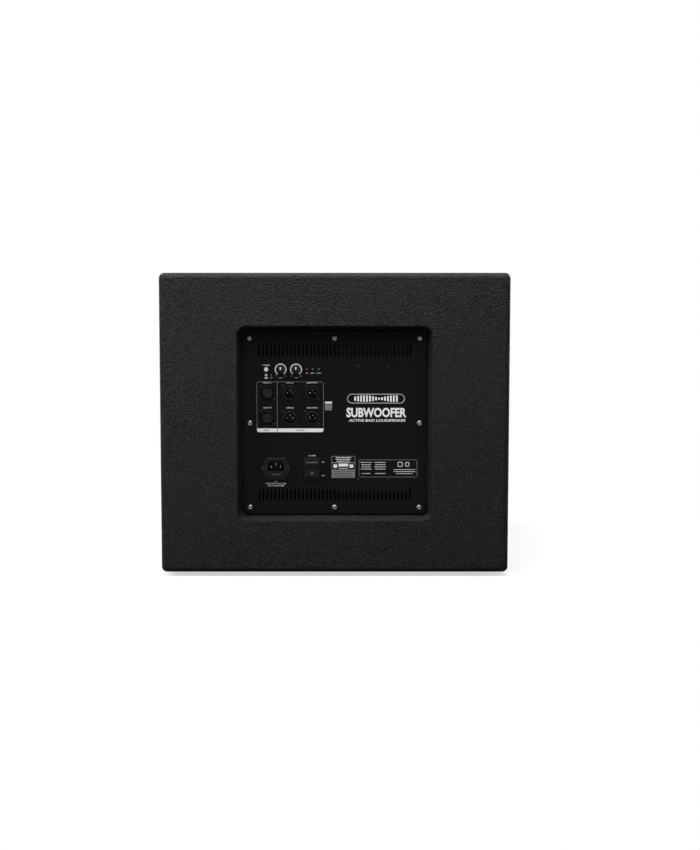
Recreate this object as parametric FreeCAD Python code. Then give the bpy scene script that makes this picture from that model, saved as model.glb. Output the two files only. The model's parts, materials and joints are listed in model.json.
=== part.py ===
"""A powered 15 inch bass-reflex subwoofer, built piece by piece, in millimetres.

Frame: the amplifier side faces -Y, the grille faces +Y, +Z is up, and +X is to the right of somebody
who stands behind the cabinet and faces the amplifier. The origin is the middle of the footprint,
on the plane of the rubber feet's undersides.
"""

import FreeCAD
import Part

import os
from math import atan, cos, pi, radians, sin, sqrt, tan

V = FreeCAD.Vector
X_AXIS = V(1, 0, 0)
Y_AXIS = V(0, 1, 0)
Z_AXIS = V(0, 0, 1)

# ---------------------------------------------------------------- driving sizes

# Wooden cabinet
cabinet_width = 514.0
cabinet_height = 442.0
cabinet_depth = 580.0
board = 18.0
edge_radius = 8.0
foot_height = 6.0
brace_rim = 60.0
brace_gap = 28.0
brace_window_radius = 40.0

# General fits
part_gap = 0.4
screw_fit = 0.1
small_screw_head_radius = 2.3
wood_hole_fit = 0.5

# Amplifier panel and the recess that it sits in
panel_size = 270.0
panel_thickness = 2.0
panel_corner = 5.0
panel_screw_inset = 9.5
recess_gap = 2.0
recess_slope = 6.5
recess_edge_radius = 1.0
gasket_thickness = 1.0
ledge_width = 16.0
frame_lap = 30.0
frame_thickness = 15.0

# Vent slots along the top and bottom of the panel
vent_count = 39
vent_pitch = 5.88
vent_width = 2.4
vent_length = 19.0
vent_inset = 27.5

# Enclosure behind the panel
enclosure_gap = 2.0
enclosure_depth = 95.0
enclosure_sheet = 1.5
standoff_radius = 4.0
standoff_inset = 8.0

# Signal connectors, as offsets from the panel's centre: a row of inputs and outputs
xlr_column_pitch = 33.2
xlr_row_pitch = 37.0
xlr_first_column = -99.3
xlr_first_row = 7.6
xlr_columns = 3
xlr_rows = 2
xlr_nose_radius = 10.1
xlr_flange_thickness = 3.0
xlr_proud = 0.8
xlr_body_radius = 11.5
xlr_socket_radius = 9.5
xlr_insert_radius = 7.6
xlr_plug_radius = 8.2
xlr_cavity_depth = 14.0
xlr_pin_circle = 4.1
xlr_pin_radius = 1.2
xlr_pin_length = 11.0
xlr_screw_gap = 1.46
xlr_flange_margin = 3.2

# Knobs, button and lamps on the panel
control_row = 79.4
knob_columns = {"level_knob": -79.7, "crossover_knob": -57.0}
knob_skirt_radius = 6.5
knob_skirt_height = 2.6
knob_radius = 4.8
knob_top_radius = 4.4
knob_height = 11.0
knob_flutes = 18
knob_flute_radius = 0.45
shaft_radius = 3.0
pot_bush_radius = 4.5
pot_bush_length = 6.0
pot_size = 11.0
phase_column = -101.0
phase_cap_radius = 3.0
phase_cap_proud = 4.2
phase_cap_inside = 1.5
phase_travel = 2.5
phase_stem = 2.4
phase_body = 8.0
lamp_columns = {"clip_led": -40.8, "signal_led": -32.3, "power_led": -23.4}
lamp_radius = 1.5
lamp_flange_radius = 1.9
lamp_proud = 1.4
lamp_leg = 0.5
lamp_leg_spread = 1.27
input_board_depth = 20.0
input_board_thickness = 1.6
input_board_margin = 10.0

# Mains inlet with its fuse drawer
inlet_x = -87.3
inlet_z = -67.6
inlet_width = 45.0
inlet_height = 32.5
inlet_flat = 29.0
inlet_flange = 2.5
inlet_tip_radius = 4.0
inlet_screw_pitch = 37.0
inlet_body_width = 27.0
inlet_body_height = 31.0
inlet_body_depth = 30.0
inlet_socket_width = 24.0
inlet_socket_height = 16.0
inlet_socket_depth = 17.0
inlet_socket_rise = 4.6
inlet_key_cut = 4.0
blade_pitch = 14.0
blade_drop = 2.0
blade_width = 2.0
blade_height = 4.0
blade_length = 15.0
blade_tail = 9.0
drawer_width = 24.0
drawer_height = 8.6
drawer_depth = 24.0
drawer_drop = 9.4
drawer_proud = 0.6
drawer_notch_radius = 3.2
fuse_radius = 2.6
fuse_length = 20.0
fuse_cap_length = 5.0

# Mains rocker switch
switch_x = -33.8
switch_z = -68.1
switch_width = 23.0
switch_height = 31.2
switch_bezel = 2.0
switch_corner = 1.5
switch_wall = 1.8
switch_depth = 22.0
rocker_width = 17.8
rocker_reach = 13.0
rocker_pivot_depth = 3.0
rocker_proud = 0.4
rocker_half_angle = 10.0
rocker_back = 3.0
rocker_pin_radius = 1.5
rocker_pin_length = 1.0
rocker_well_depth = 17.0

# Heat sink, boards and transformer inside the enclosure
heatsink_x = 57.6
heatsink_width = 70.0
heatsink_height = 182.0
heatsink_base = 6.0
heatsink_wing = 6.0
heatsink_wing_reach = 46.0
fin_count = 6
fin_thickness = 2.0
fin_reach = 40.0
heatsink_screw_dx = 22.3
heatsink_screw_dz = 84.0
transistor_count = 4
transistor_pitch = 40.0
transistor_size = (5.0, 20.0, 16.0)
transistor_depth = 22.0
transistor_lead = 1.0
main_board_depth = 52.0
main_board_left = 2.0
main_board_margin = 4.0
board_thickness = 1.6
capacitor_radius = 12.5
capacitor_length = 32.0
capacitor_pitch = 30.0
capacitor_columns = 2
transformer_radius = 52.0
transformer_hole_radius = 16.0
transformer_thickness = 38.0
transformer_pad = 2.0
clamp_dish_radius = 30.0
clamp_dish_thickness = 3.0
clamp_bolt_radius = 4.0

# Woofer
woofer_flange_radius = 194.0
woofer_flange_thickness = 6.0
woofer_seat_lap = 18.0
woofer_rebate_depth = 8.0
woofer_bolt_inset = 9.0
woofer_bolt_count = 8
woofer_bolt_radius = 2.5
tee_nut_radius = 9.5
tee_nut_flange = 2.0
tee_nut_barrel_radius = 3.6
tee_nut_barrel = 7.0
woofer_gasket_thickness = 4.0
woofer_gasket_width = 14.0
surround_lip = 8.0
surround_roll_radius = 11.0
surround_thickness = 1.2
cone_depth = 75.0
cone_thickness = 2.0
cone_lip = 5.0
coil_radius = 38.4
former_thickness = 0.4
coil_thickness = 1.2
coil_height = 18.0
coil_air = 1.0
dust_cap_radius = 55.0
dust_cap_rise = 16.0
dust_cap_thickness = 1.0
basket_wall = 4.0
basket_collar = 20.0
spider_shelf_radius = 104.0
spider_shelf_lip = 8.0
spider_thickness = 0.8
spider_wave = 2.5
spider_folds = 5
motor_radius = 92.0
magnet_radius = 95.0
magnet_bore_radius = 52.0
magnet_thickness = 24.0
plate_thickness = 10.0
pole_vent_radius = 12.0
cone_travel = 8.0
basket_windows = 8

# Reflex ports in the four corners of the baffle
port_bore_radius = 36.0
port_wall = 3.0
port_flange_radius = 44.0
port_flange_thickness = 3.0
port_length = 180.0
port_wall_gap = 6.0
port_woofer_gap = 5.17

# Grille
grille_zone = 36.0
grille_gap = 2.0
grille_sheet = 1.2
grille_return = 18.0
grille_setback = 2.8
foam_thickness = 8.0
spacer_radius = 5.0
spacer_bore_radius = 2.3
spacer_inset = 10.5
spacer_inner_x = 100.0
grille_screw_length = 50.0

# Pole socket in the top board
pole_bore_radius = 18.25
pole_bore_depth = 75.0
pole_wall = 2.0
pole_flange_radius = 45.0
pole_flange_thickness = 3.0
pole_screw_circle = 35.0
pole_screw_count = 4

# Recessed handles in the side boards
handle_y = 30.0
handle_rise = 20.0
handle_length = 190.0
handle_height = 120.0
handle_corner = 14.0
handle_flange = 3.0
handle_rim = 14.0
handle_cup_depth = 62.0
handle_wall = 3.0
handle_bar_radius = 12.0
handle_screw_inset = 7.0

# Rubber feet
foot_radius = 19.0
foot_inset = 62.0
foot_taper = 2.0
foot_counterbore_radius = 6.0
foot_counterbore_depth = 3.6

# Speaker leads from the amplifier to the woofer's terminals
lead_radius = 1.6
lead_spread = 6.0
lead_x = 14.0
lead_rise = 20.0
lead_bend = 25.0
lead_turn_y = -70.0
terminal_width = 24.0
terminal_size = 14.0

# ---------------------------------------------------------------- derived places

xlr_screw_offset = (xlr_nose_radius + small_screw_head_radius + xlr_screw_gap) / sqrt(2)
xlr_flange = 2 * (xlr_screw_offset + xlr_flange_margin)
half_width = cabinet_width / 2
half_height = cabinet_height / 2
inner_half_width = half_width - board
inner_half_height = half_height - board
cabinet_floor = foot_height
cabinet_top = foot_height + cabinet_height
centre_z = foot_height + half_height
back_face = -cabinet_depth / 2
front_edge = cabinet_depth / 2
ledge_face = back_face + board
panel_back = ledge_face - gasket_thickness
panel_face = panel_back - panel_thickness
recess_size = panel_size + 2 * recess_gap
frame_opening = panel_size - 2 * ledge_width
enclosure_size = frame_opening - 2 * enclosure_gap
enclosure_inner = enclosure_size - 2 * enclosure_sheet
enclosure_rear = panel_back + enclosure_depth
enclosure_floor = enclosure_rear - enclosure_sheet
brace_y = enclosure_rear + brace_gap
baffle_face = front_edge - grille_zone
baffle_back = baffle_face - board
grille_face = front_edge - grille_setback
grille_back = grille_face - grille_sheet
foam_back = grille_back - foam_thickness
woofer_seat = baffle_face - woofer_rebate_depth
woofer_cutout_radius = woofer_flange_radius - woofer_seat_lap
input_board_face = panel_back + input_board_depth
lead_start_z = centre_z + lead_rise
lead_columns = (lead_x - lead_spread, lead_x + lead_spread)
port_inset = port_flange_radius + port_wall_gap
port_corner_x = inner_half_width - port_inset
port_corner_z = inner_half_height - port_inset
port_reach = woofer_flange_radius + port_woofer_gap + port_flange_radius
port_pull = port_reach / sqrt(port_corner_x**2 + port_corner_z**2)
port_centres = [
    (sx * port_pull * port_corner_x, centre_z + sz * port_pull * port_corner_z)
    for sz in (1, -1)
    for sx in (-1, 1)
]


# ---------------------------------------------------------------- shape helpers


def block(x, y, z):
    """A box from three (low, high) pairs."""
    return Part.makeBox(x[1] - x[0], y[1] - y[0], z[1] - z[0], V(x[0], y[0], z[0]))


def rod(radius, start, end):
    """A cylinder from one point to another."""
    along = end - start
    return Part.makeCylinder(radius, along.Length, start, along)


def y_rod(radius, x, z, y_low, y_high):
    return rod(radius, V(x, y_low, z), V(x, y_high, z))


def y_tube(outer, inner, x, z, y_low, y_high):
    return y_rod(outer, x, z, y_low, y_high).cut(y_rod(inner, x, z, y_low - 1, y_high + 1))


def round_rect(width, height, corner, x, z, y):
    """A rounded rectangle's wire in the XZ plane, centred on x and z."""
    half_w = width / 2
    half_h = height / 2
    edges = []
    corners = [(1, 1, 0), (-1, 1, 90), (-1, -1, 180), (1, -1, 270)]
    ends = []
    for sx, sz, start in corners:
        mid = V(x + sx * (half_w - corner), y, z + sz * (half_h - corner))
        arc = [
            mid + V(corner * cos(radians(a)), 0, corner * sin(radians(a)))
            for a in (start, start + 45, start + 90)
        ]
        edges.append(Part.Arc(*arc).toShape())
        ends.append((arc[0], arc[2]))
    for i in range(4):
        edges.append(Part.makeLine(ends[i][1], ends[(i + 1) % 4][0]))
    return Part.Wire(Part.__sortEdges__(edges))


def circle(radius, x, z, y):
    return Part.Wire(Part.makeCircle(radius, V(x, y, z), Y_AXIS))


def sheet(outline, holes, thickness):
    """A flat piece: an outline with holes, thickened along +Y."""
    face = Part.makeFace([outline, *holes], "Part::FaceMakerBullseye")
    return face.extrude(V(0, thickness, 0))


def plate(width, height, corner, x, z, y_low, y_high):
    return sheet(round_rect(width, height, corner, x, z, y_low), [], y_high - y_low)


def polygon(points):
    return Part.makePolygon([*points, points[0]])


def turned(points, z=centre_z):
    """A solid of revolution about the line x = 0 at height z, from (radius, y) points."""
    face = Part.Face(polygon([V(r, y, z) for r, y in points]))
    return face.revolve(V(0, 0, z), Y_AXIS, 360)


def turned_band(line, thickness, z=centre_z):
    """A thin band of revolution: a (radius, y) line and the same line moved back by the thickness."""
    back = [(r, y - thickness) for r, y in reversed(line)]
    return turned([*line, *back], z)


def turn_about_woofer(shape, angle):
    copy = shape.copy()
    copy.rotate(V(0, 0, centre_z), Y_AXIS, angle)
    return copy


def joined(shapes):
    """One solid from solids that touch or overlap."""
    return shapes[0].multiFuse(shapes[1:]).removeSplitter()


def cut_all(shape, tools):
    return shape.cut(Part.makeCompound(tools)) if tools else shape


def group(shapes):
    return Part.makeCompound(shapes)


def mirrored(shape):
    return shape.mirror(V(0, 0, 0), X_AXIS)


# ---------------------------------------------------------------- fasteners


def screw(head_at, out, head_radius, head_height, shank_radius, shank_length):
    """A pan-head cross-recess screw. head_at is under the head, and out points away from the work."""
    head = Part.makeCylinder(head_radius, head_height)
    crown = [e for e in head.Edges if abs(e.BoundBox.ZMin - head_height) < 1e-6]
    head = head.makeFillet(0.6 * head_height, crown)
    slot_length = 1.1 * head_radius
    slot_width = 0.24 * head_radius
    for size in ((slot_length, slot_width), (slot_width, slot_length)):
        slot = Part.makeBox(*size, head_height, V(-size[0] / 2, -size[1] / 2, 0.4 * head_height))
        head = head.cut(slot)
    tip = shank_radius
    shank = Part.makeCylinder(shank_radius, shank_length - tip, V(0, 0, 0), V(0, 0, -1))
    point = Part.makeCone(shank_radius, 0.3 * shank_radius, tip, V(0, 0, tip - shank_length), V(0, 0, -1))
    solid = joined([head, shank, point])
    solid.Placement = FreeCAD.Placement(head_at, FreeCAD.Rotation(Z_AXIS, out))
    return solid


wood_screw = {"head_radius": 4.5, "head_height": 2.6, "shank_radius": 2.0, "shank_length": 16.0}
small_screw = {
    "head_radius": small_screw_head_radius,
    "head_height": 1.2,
    "shank_radius": 1.25,
    "shank_length": 7.0,
}
panel_screw = {"head_radius": 4.0, "head_height": 2.8, "shank_radius": 2.1, "shank_length": 16.0}
panel_hole_radius = panel_screw["shank_radius"] + part_gap
small_hole_radius = small_screw["shank_radius"] + screw_fit


def pilot(at, out, kind):
    """The hole that a screw of that kind needs in the piece it bites into."""
    depth = kind["shank_length"] + 1
    return Part.makeCylinder(kind["shank_radius"] + screw_fit, depth, at, -out)


# ---------------------------------------------------------------- hole patterns


def panel_screw_places():
    reach = panel_size / 2 - panel_screw_inset
    steps = (-reach, 0, reach)
    return [(x, centre_z + z) for x in steps for z in steps if x or z]


def xlr_places():
    """[(x, z)] of every connector, the inputs' column first."""
    return [
        (xlr_first_column + c * xlr_column_pitch, centre_z + xlr_first_row + r * xlr_row_pitch)
        for c in range(xlr_columns)
        for r in range(xlr_rows)
    ]


input_places = xlr_places()[:xlr_rows]
output_places = xlr_places()[xlr_rows:]


def xlr_screw_places():
    d = xlr_screw_offset
    return [(x + s * d, z - s * d) for x, z in xlr_places() for s in (-1, 1)]


def inlet_screw_places():
    return [(inlet_x + s * inlet_screw_pitch / 2, centre_z + inlet_z) for s in (-1, 1)]


def heatsink_screw_places():
    return [
        (heatsink_x + sx * heatsink_screw_dx, centre_z + sz * heatsink_screw_dz)
        for sx in (-1, 1)
        for sz in (-1, 1)
    ]


def spacer_places():
    edge_x = inner_half_width - spacer_inset
    edge_z = inner_half_height - spacer_inset
    corners = [(sx * edge_x, sz * edge_z) for sx in (-1, 1) for sz in (-1, 1)]
    rails = [(sx * spacer_inner_x, sz * edge_z) for sx in (-1, 1) for sz in (-1, 1)]
    sides = [(sx * edge_x, 0) for sx in (-1, 1)]
    return [(x, centre_z + z) for x, z in corners + rails + sides]


def handle_screw_places():
    """[(y, z)] of one handle's screws."""
    dy = handle_length / 2 - handle_screw_inset
    dz = handle_height / 2 - handle_screw_inset
    z = centre_z + handle_rise
    return [(handle_y + sy * dy, z + sz * dz) for sy in (-1, 0, 1) for sz in (-1, 1)]


def foot_places():
    x = half_width - foot_inset
    y = cabinet_depth / 2 - foot_inset
    return [(sx * x, sy * y) for sx in (-1, 1) for sy in (-1, 1)]


def pole_screw_places():
    step = 360 / pole_screw_count
    turns = [radians(45 + i * step) for i in range(pole_screw_count)]
    return [(pole_screw_circle * cos(a), pole_screw_circle * sin(a)) for a in turns]


def woofer_bolt_places():
    circle_radius = woofer_flange_radius - woofer_bolt_inset
    step = 2 * pi / woofer_bolt_count
    turns = [(i + 0.5) * step for i in range(woofer_bolt_count)]
    return [(circle_radius * cos(a), centre_z + circle_radius * sin(a)) for a in turns]


# ---------------------------------------------------------------- wooden cabinet


def rounded_cabinet():
    whole = block((-half_width, half_width), (back_face, front_edge), (cabinet_floor, cabinet_top))
    return whole.makeFillet(edge_radius, whole.Edges)


def handle_opening():
    """The hole in the right side board for the handle's cup."""
    width = handle_length - 2 * handle_rim
    height = handle_height - 2 * handle_rim
    fit = wood_hole_fit
    corner = handle_corner + fit
    outline = round_rect(width + 2 * fit, height + 2 * fit, corner, 0, 0, 0)
    hole = Part.Face(outline).extrude(V(0, 2 * board, 0))
    hole.Placement = FreeCAD.Placement(
        V(half_width + board / 2, handle_y, centre_z + handle_rise), FreeCAD.Rotation(Z_AXIS, 90)
    )
    return hole


def right_side(cabinet):
    side = block((inner_half_width, half_width), (back_face, front_edge), (cabinet_floor, cabinet_top))
    side = side.common(cabinet)
    pilots = [pilot(V(half_width, y, z), X_AXIS, wood_screw) for y, z in handle_screw_places()]
    return cut_all(side, [handle_opening(), *pilots])


def lid_board(cabinet, z_low, z_high):
    width = (-inner_half_width, inner_half_width)
    return block(width, (back_face, front_edge), (z_low, z_high)).common(cabinet)


def top_board(cabinet):
    lid = lid_board(cabinet, cabinet_top - board, cabinet_top)
    cup_radius = pole_bore_radius + pole_wall + wood_hole_fit
    hole = rod(cup_radius, V(0, 0, cabinet_top - 2 * board), V(0, 0, cabinet_top + board))
    pilots = [pilot(V(x, y, cabinet_top), Z_AXIS, wood_screw) for x, y in pole_screw_places()]
    return cut_all(lid, [hole, *pilots])


def bottom_board(cabinet):
    floor = lid_board(cabinet, cabinet_floor, cabinet_floor + board)
    pilots = [pilot(V(x, y, cabinet_floor), -Z_AXIS, foot_screw) for x, y in foot_places()]
    return cut_all(floor, pilots)


def back_board():
    """The back board. The wall of the amplifier's opening slopes outwards to the face."""
    wall = block(
        (-inner_half_width, inner_half_width),
        (back_face, ledge_face),
        (cabinet_floor + board, cabinet_top - board),
    )
    corner = panel_corner + recess_gap
    mouth_size = recess_size + 2 * recess_slope
    mouth = round_rect(mouth_size, mouth_size, corner + recess_slope, 0, centre_z, back_face)
    foot = round_rect(recess_size, recess_size, corner, 0, centre_z, ledge_face)
    wall = wall.cut(Part.makeLoft([mouth, foot], True, True))
    reach = mouth_size / 2 + 1
    rim = [
        e
        for e in wall.Edges
        if e.BoundBox.YMax < back_face + 0.01
        and max(abs(e.BoundBox.XMin), abs(e.BoundBox.XMax)) < reach
        and max(abs(e.BoundBox.ZMin - centre_z), abs(e.BoundBox.ZMax - centre_z)) < reach
    ]
    return wall.makeFillet(recess_edge_radius, rim)


def mounting_frame():
    """The frame glued behind the back board, whose inner ledge carries the amplifier panel."""
    outer = recess_size + 2 * frame_lap
    outline = round_rect(outer, outer, panel_corner, 0, centre_z, ledge_face)
    hole = round_rect(frame_opening, frame_opening, panel_corner, 0, centre_z, ledge_face)
    frame = sheet(outline, [hole], frame_thickness)
    shank = panel_screw["shank_radius"] + screw_fit
    pilots = [
        y_rod(shank, x, z, ledge_face - 1, ledge_face + frame_thickness + 1)
        for x, z in panel_screw_places()
    ]
    return cut_all(frame, pilots)


def baffle():
    wall = block(
        (-inner_half_width, inner_half_width),
        (baffle_back, baffle_face),
        (cabinet_floor + board, cabinet_top - board),
    )
    rebate_radius = woofer_flange_radius + 1
    tools = [
        y_rod(woofer_cutout_radius, 0, centre_z, baffle_back - 1, baffle_face + 1),
        y_rod(rebate_radius, 0, centre_z, woofer_seat, baffle_face + 1),
    ]
    nut_hole = tee_nut_barrel_radius + screw_fit
    tools += [y_rod(nut_hole, x, z, baffle_back - 1, baffle_face) for x, z in woofer_bolt_places()]
    port_hole = port_bore_radius + port_wall + part_gap
    tools += [y_rod(port_hole, x, z, baffle_back - 1, baffle_face + 1) for x, z in port_centres]
    tools += [
        y_rod(grille_screw["shank_radius"] + screw_fit, x, z, baffle_back - 1, baffle_face + 1)
        for x, z in spacer_places()
    ]
    return cut_all(wall, tools)


def window_brace():
    width = 2 * inner_half_width
    height = 2 * inner_half_height
    brace = block(
        (-inner_half_width, inner_half_width),
        (brace_y, brace_y + board),
        (cabinet_floor + board, cabinet_top - board),
    )
    window = plate(
        width - 2 * brace_rim,
        height - 2 * brace_rim,
        brace_window_radius,
        0,
        centre_z,
        brace_y - 1,
        brace_y + board + 1,
    )
    return brace.cut(window)


# ---------------------------------------------------------------- grille, ports, socket, handles, feet

grille_screw = {
    "head_radius": 4.5,
    "head_height": 2.2,
    "shank_radius": 2.0,
    "shank_length": grille_screw_length,
}
foot_screw = {**wood_screw, "shank_length": 18.0}


def grille():
    """A perforated sheet with four folded returns, drawn here without its holes."""
    width = 2 * (inner_half_width - grille_gap)
    height = 2 * (inner_half_height - grille_gap)
    outer = plate(width, height, 3, 0, centre_z, grille_face - grille_return, grille_face)
    fold = [e for e in outer.Edges if abs(e.BoundBox.YMin - grille_face) < 1e-6]
    outer = outer.makeFillet(2.0, fold)
    sheet_2 = 2 * grille_sheet
    inner = plate(
        width - sheet_2, height - sheet_2, 2, 0, centre_z, grille_face - grille_return - 1, grille_back
    )
    hole = grille_screw["shank_radius"] + part_gap
    holes = [y_rod(hole, x, z, grille_back - 1, grille_face + 1) for x, z in spacer_places()]
    return cut_all(outer, [inner, *holes])


def grille_foam():
    width = 2 * (inner_half_width - grille_gap - grille_sheet - 0.5)
    height = 2 * (inner_half_height - grille_gap - grille_sheet - 0.5)
    outline = round_rect(width, height, 2, 0, centre_z, foam_back)
    holes = [circle(spacer_radius + part_gap, x, z, foam_back) for x, z in spacer_places()]
    return sheet(outline, holes, foam_thickness)


def grille_spacers():
    return group(
        [
            y_tube(spacer_radius, spacer_bore_radius, x, z, baffle_face, grille_back)
            for x, z in spacer_places()
        ]
    )


def grille_screws():
    return group([screw(V(x, grille_face, z), Y_AXIS, **grille_screw) for x, z in spacer_places()])


def port_tubes():
    """Four flared tubes. Each has a flange on the baffle and a rounded mouth."""
    outer = port_bore_radius + port_wall
    front = baffle_face + port_flange_thickness
    rear = front - port_length
    lip = port_flange_thickness
    profile = [
        (port_bore_radius + lip, front),
        (port_flange_radius, front),
        (port_flange_radius, baffle_face),
        (outer, baffle_face),
        (outer, rear),
        (port_bore_radius, rear),
        (port_bore_radius, front - 2 * lip),
        (port_bore_radius + 0.3 * lip, front - lip),
    ]
    tube = turned(profile, 0)
    tubes = []
    for x, z in port_centres:
        copy = tube.copy()
        copy.translate(V(x, 0, z))
        tubes.append(copy)
    return group(tubes)


def pole_socket():
    """A steel cup with a round flange on the top board. Its bore takes a speaker pole."""
    outer = pole_bore_radius + pole_wall
    flange_top = cabinet_top + pole_flange_thickness
    bore_floor = flange_top - pole_bore_depth
    flange = rod(pole_flange_radius, V(0, 0, cabinet_top), V(0, 0, flange_top))
    rim = [e for e in flange.Edges if abs(e.BoundBox.ZMin - flange_top) < 1e-6]
    flange = flange.makeFillet(1.2, rim)
    cup = rod(outer, V(0, 0, bore_floor - pole_wall), V(0, 0, cabinet_top))
    bore = rod(pole_bore_radius, V(0, 0, bore_floor), V(0, 0, flange_top + 1))
    hole = wood_screw["shank_radius"] + part_gap
    holes = [rod(hole, V(x, y, cabinet_top - 1), V(x, y, flange_top + 1)) for x, y in pole_screw_places()]
    return cut_all(joined([flange, cup]), [bore, *holes])


def right_handle():
    """A moulded tray with a flange outside the board and a grip bar across its mouth."""
    z = centre_z + handle_rise
    cup_length = handle_length - 2 * handle_rim
    cup_height = handle_height - 2 * handle_rim

    def slab(length, height, corner, x_low, x_high):
        flat = Part.Face(round_rect(length, height, corner, 0, 0, 0)).extrude(V(0, x_high - x_low, 0))
        turn = FreeCAD.Rotation(Z_AXIS, -90)
        flat.Placement = FreeCAD.Placement(V(x_low, handle_y, z), turn)
        return flat

    outside = half_width + handle_flange
    cup_floor = half_width - handle_cup_depth
    flange = slab(handle_length, handle_height, handle_corner, half_width, outside)
    rim = [e for e in flange.Edges if abs(e.BoundBox.XMin - outside) < 1e-6]
    flange = flange.makeFillet(1.5, rim)
    cup = slab(cup_length, cup_height, handle_corner, cup_floor, half_width)
    hollow = slab(
        cup_length - 2 * handle_wall,
        cup_height - 2 * handle_wall,
        handle_corner - handle_wall,
        cup_floor + handle_wall,
        outside + 1,
    )
    bottom = [e for e in hollow.Edges if abs(e.BoundBox.XMax - cup_floor - handle_wall) < 1e-6]
    hollow = hollow.makeFillet(8.0, bottom)
    bar_x = outside - handle_bar_radius - 1
    reach = cup_length / 2 - handle_wall / 2
    bar = rod(handle_bar_radius, V(bar_x, handle_y - reach, z), V(bar_x, handle_y + reach, z))
    tray = joined([flange, cup]).cut(hollow)
    hole = wood_screw["shank_radius"] + part_gap
    holes = [rod(hole, V(half_width - 1, y, zz), V(outside + 1, y, zz)) for y, zz in handle_screw_places()]
    return cut_all(joined([tray, bar]), holes)


def cabinet_screws():
    """The wood screws of both handles, the pole socket and the feet."""
    side_x = half_width + handle_flange
    right = [screw(V(side_x, y, z), X_AXIS, **wood_screw) for y, z in handle_screw_places()]
    left = [screw(V(-side_x, y, z), -X_AXIS, **wood_screw) for y, z in handle_screw_places()]
    flange_top = cabinet_top + pole_flange_thickness
    top = [screw(V(x, y, flange_top), Z_AXIS, **wood_screw) for x, y in pole_screw_places()]
    feet = [
        screw(V(x, y, foot_counterbore_depth), -Z_AXIS, **foot_screw) for x, y in foot_places()
    ]
    return group(right + left + top + feet)


def rubber_feet():
    hole = foot_screw["shank_radius"] + part_gap
    feet = []
    for x, y in foot_places():
        foot = Part.makeCone(foot_radius - foot_taper, foot_radius, foot_height, V(x, y, 0))
        edge = [e for e in foot.Edges if e.BoundBox.ZMax < 1e-6]
        foot = foot.makeFillet(1.0, edge)
        counterbore = rod(foot_counterbore_radius, V(x, y, -1), V(x, y, foot_counterbore_depth))
        foot = cut_all(foot, [counterbore, rod(hole, V(x, y, 0), V(x, y, foot_height + 1))])
        feet.append(foot)
    return group(feet)


# ---------------------------------------------------------------- amplifier panel


def vent_outlines(y):
    reach = panel_size / 2 - vent_inset
    first = -(vent_count - 1) / 2 * vent_pitch
    corner = vent_width / 2 - 0.05
    return [
        round_rect(vent_width, vent_length, corner, first + i * vent_pitch, centre_z + s * reach, y)
        for i in range(vent_count)
        for s in (-1, 1)
    ]


def amp_panel():
    """The steel plate that carries every connector and control."""
    y = panel_face
    outline = round_rect(panel_size, panel_size, panel_corner, 0, centre_z, y)
    row = centre_z + control_row
    holes = vent_outlines(y)
    holes += [circle(panel_hole_radius, x, z, y) for x, z in panel_screw_places()]
    holes += [circle(xlr_nose_radius + 0.2, x, z, y) for x, z in xlr_places()]
    holes += [circle(small_hole_radius, x, z, y) for x, z in xlr_screw_places()]
    holes += [circle(small_hole_radius, x, z, y) for x, z in inlet_screw_places()]
    holes += [circle(small_hole_radius, x, z, y) for x, z in heatsink_screw_places()]
    holes += [circle(shaft_radius + part_gap, x, row, y) for x in knob_columns.values()]
    holes += [circle(lamp_radius + screw_fit, x, row, y) for x in lamp_columns.values()]
    holes.append(circle(phase_cap_radius + part_gap, phase_column, row, y))
    holes.append(
        round_rect(
            inlet_body_width + 2 * screw_fit,
            inlet_body_height + 2 * screw_fit,
            0.5,
            inlet_x,
            centre_z + inlet_z,
            y,
        )
    )
    holes.append(
        round_rect(
            switch_body_width + 2 * screw_fit,
            switch_body_height + 2 * screw_fit,
            0.5,
            switch_x,
            centre_z + switch_z,
            y,
        )
    )
    return sheet(outline, holes, panel_thickness)


def amp_gasket():
    """A foam seal between the panel and the ledge of the mounting frame."""
    outline = round_rect(panel_size, panel_size, panel_corner, 0, centre_z, panel_back)
    inner = frame_opening
    holes = [round_rect(inner, inner, panel_corner, 0, centre_z, panel_back)]
    holes += [circle(panel_hole_radius, x, z, panel_back) for x, z in panel_screw_places()]
    return sheet(outline, holes, gasket_thickness)


def amp_panel_screws():
    return group([screw(V(x, panel_face, z), -Y_AXIS, **panel_screw) for x, z in panel_screw_places()])


def panel_small_screws():
    """The black machine screws of the connectors, the mains inlet and the heat sink."""
    flush = xlr_screw_places() + heatsink_screw_places()
    screws = [screw(V(x, panel_face, z), -Y_AXIS, **small_screw) for x, z in flush]
    inlet_face = panel_face - inlet_flange
    screws += [screw(V(x, inlet_face, z), -Y_AXIS, **small_screw) for x, z in inlet_screw_places()]
    return group(screws)


# ---------------------------------------------------------------- connectors


def pin_places(x, z):
    """The three contacts of one connector."""
    r = xlr_pin_circle
    return [(x - r, z), (x + r, z), (x, z + r)]


def xlr_shell(x, z, cavity_radius):
    """Nose through the panel, square flange behind it and a round body down to the board."""
    front = panel_face - xlr_proud
    flange_back = panel_back + xlr_flange_thickness
    nose = y_rod(xlr_nose_radius, x, z, front, flange_back)
    rim = [e for e in nose.Edges if e.BoundBox.YMax < front + 1e-6]
    nose = nose.makeFillet(0.5, rim)
    flange = plate(xlr_flange, xlr_flange, 2, x, z, panel_back, flange_back)
    body = y_rod(xlr_body_radius, x, z, flange_back, input_board_face)
    d = xlr_screw_offset
    holes = [
        y_rod(small_hole_radius, x + s * d, z - s * d, panel_back - 1, panel_back + 8) for s in (-1, 1)
    ]
    cavity = y_rod(cavity_radius, x, z, front - 1, front + xlr_cavity_depth)
    return cut_all(joined([nose, flange, body]), [cavity, *holes])


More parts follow.
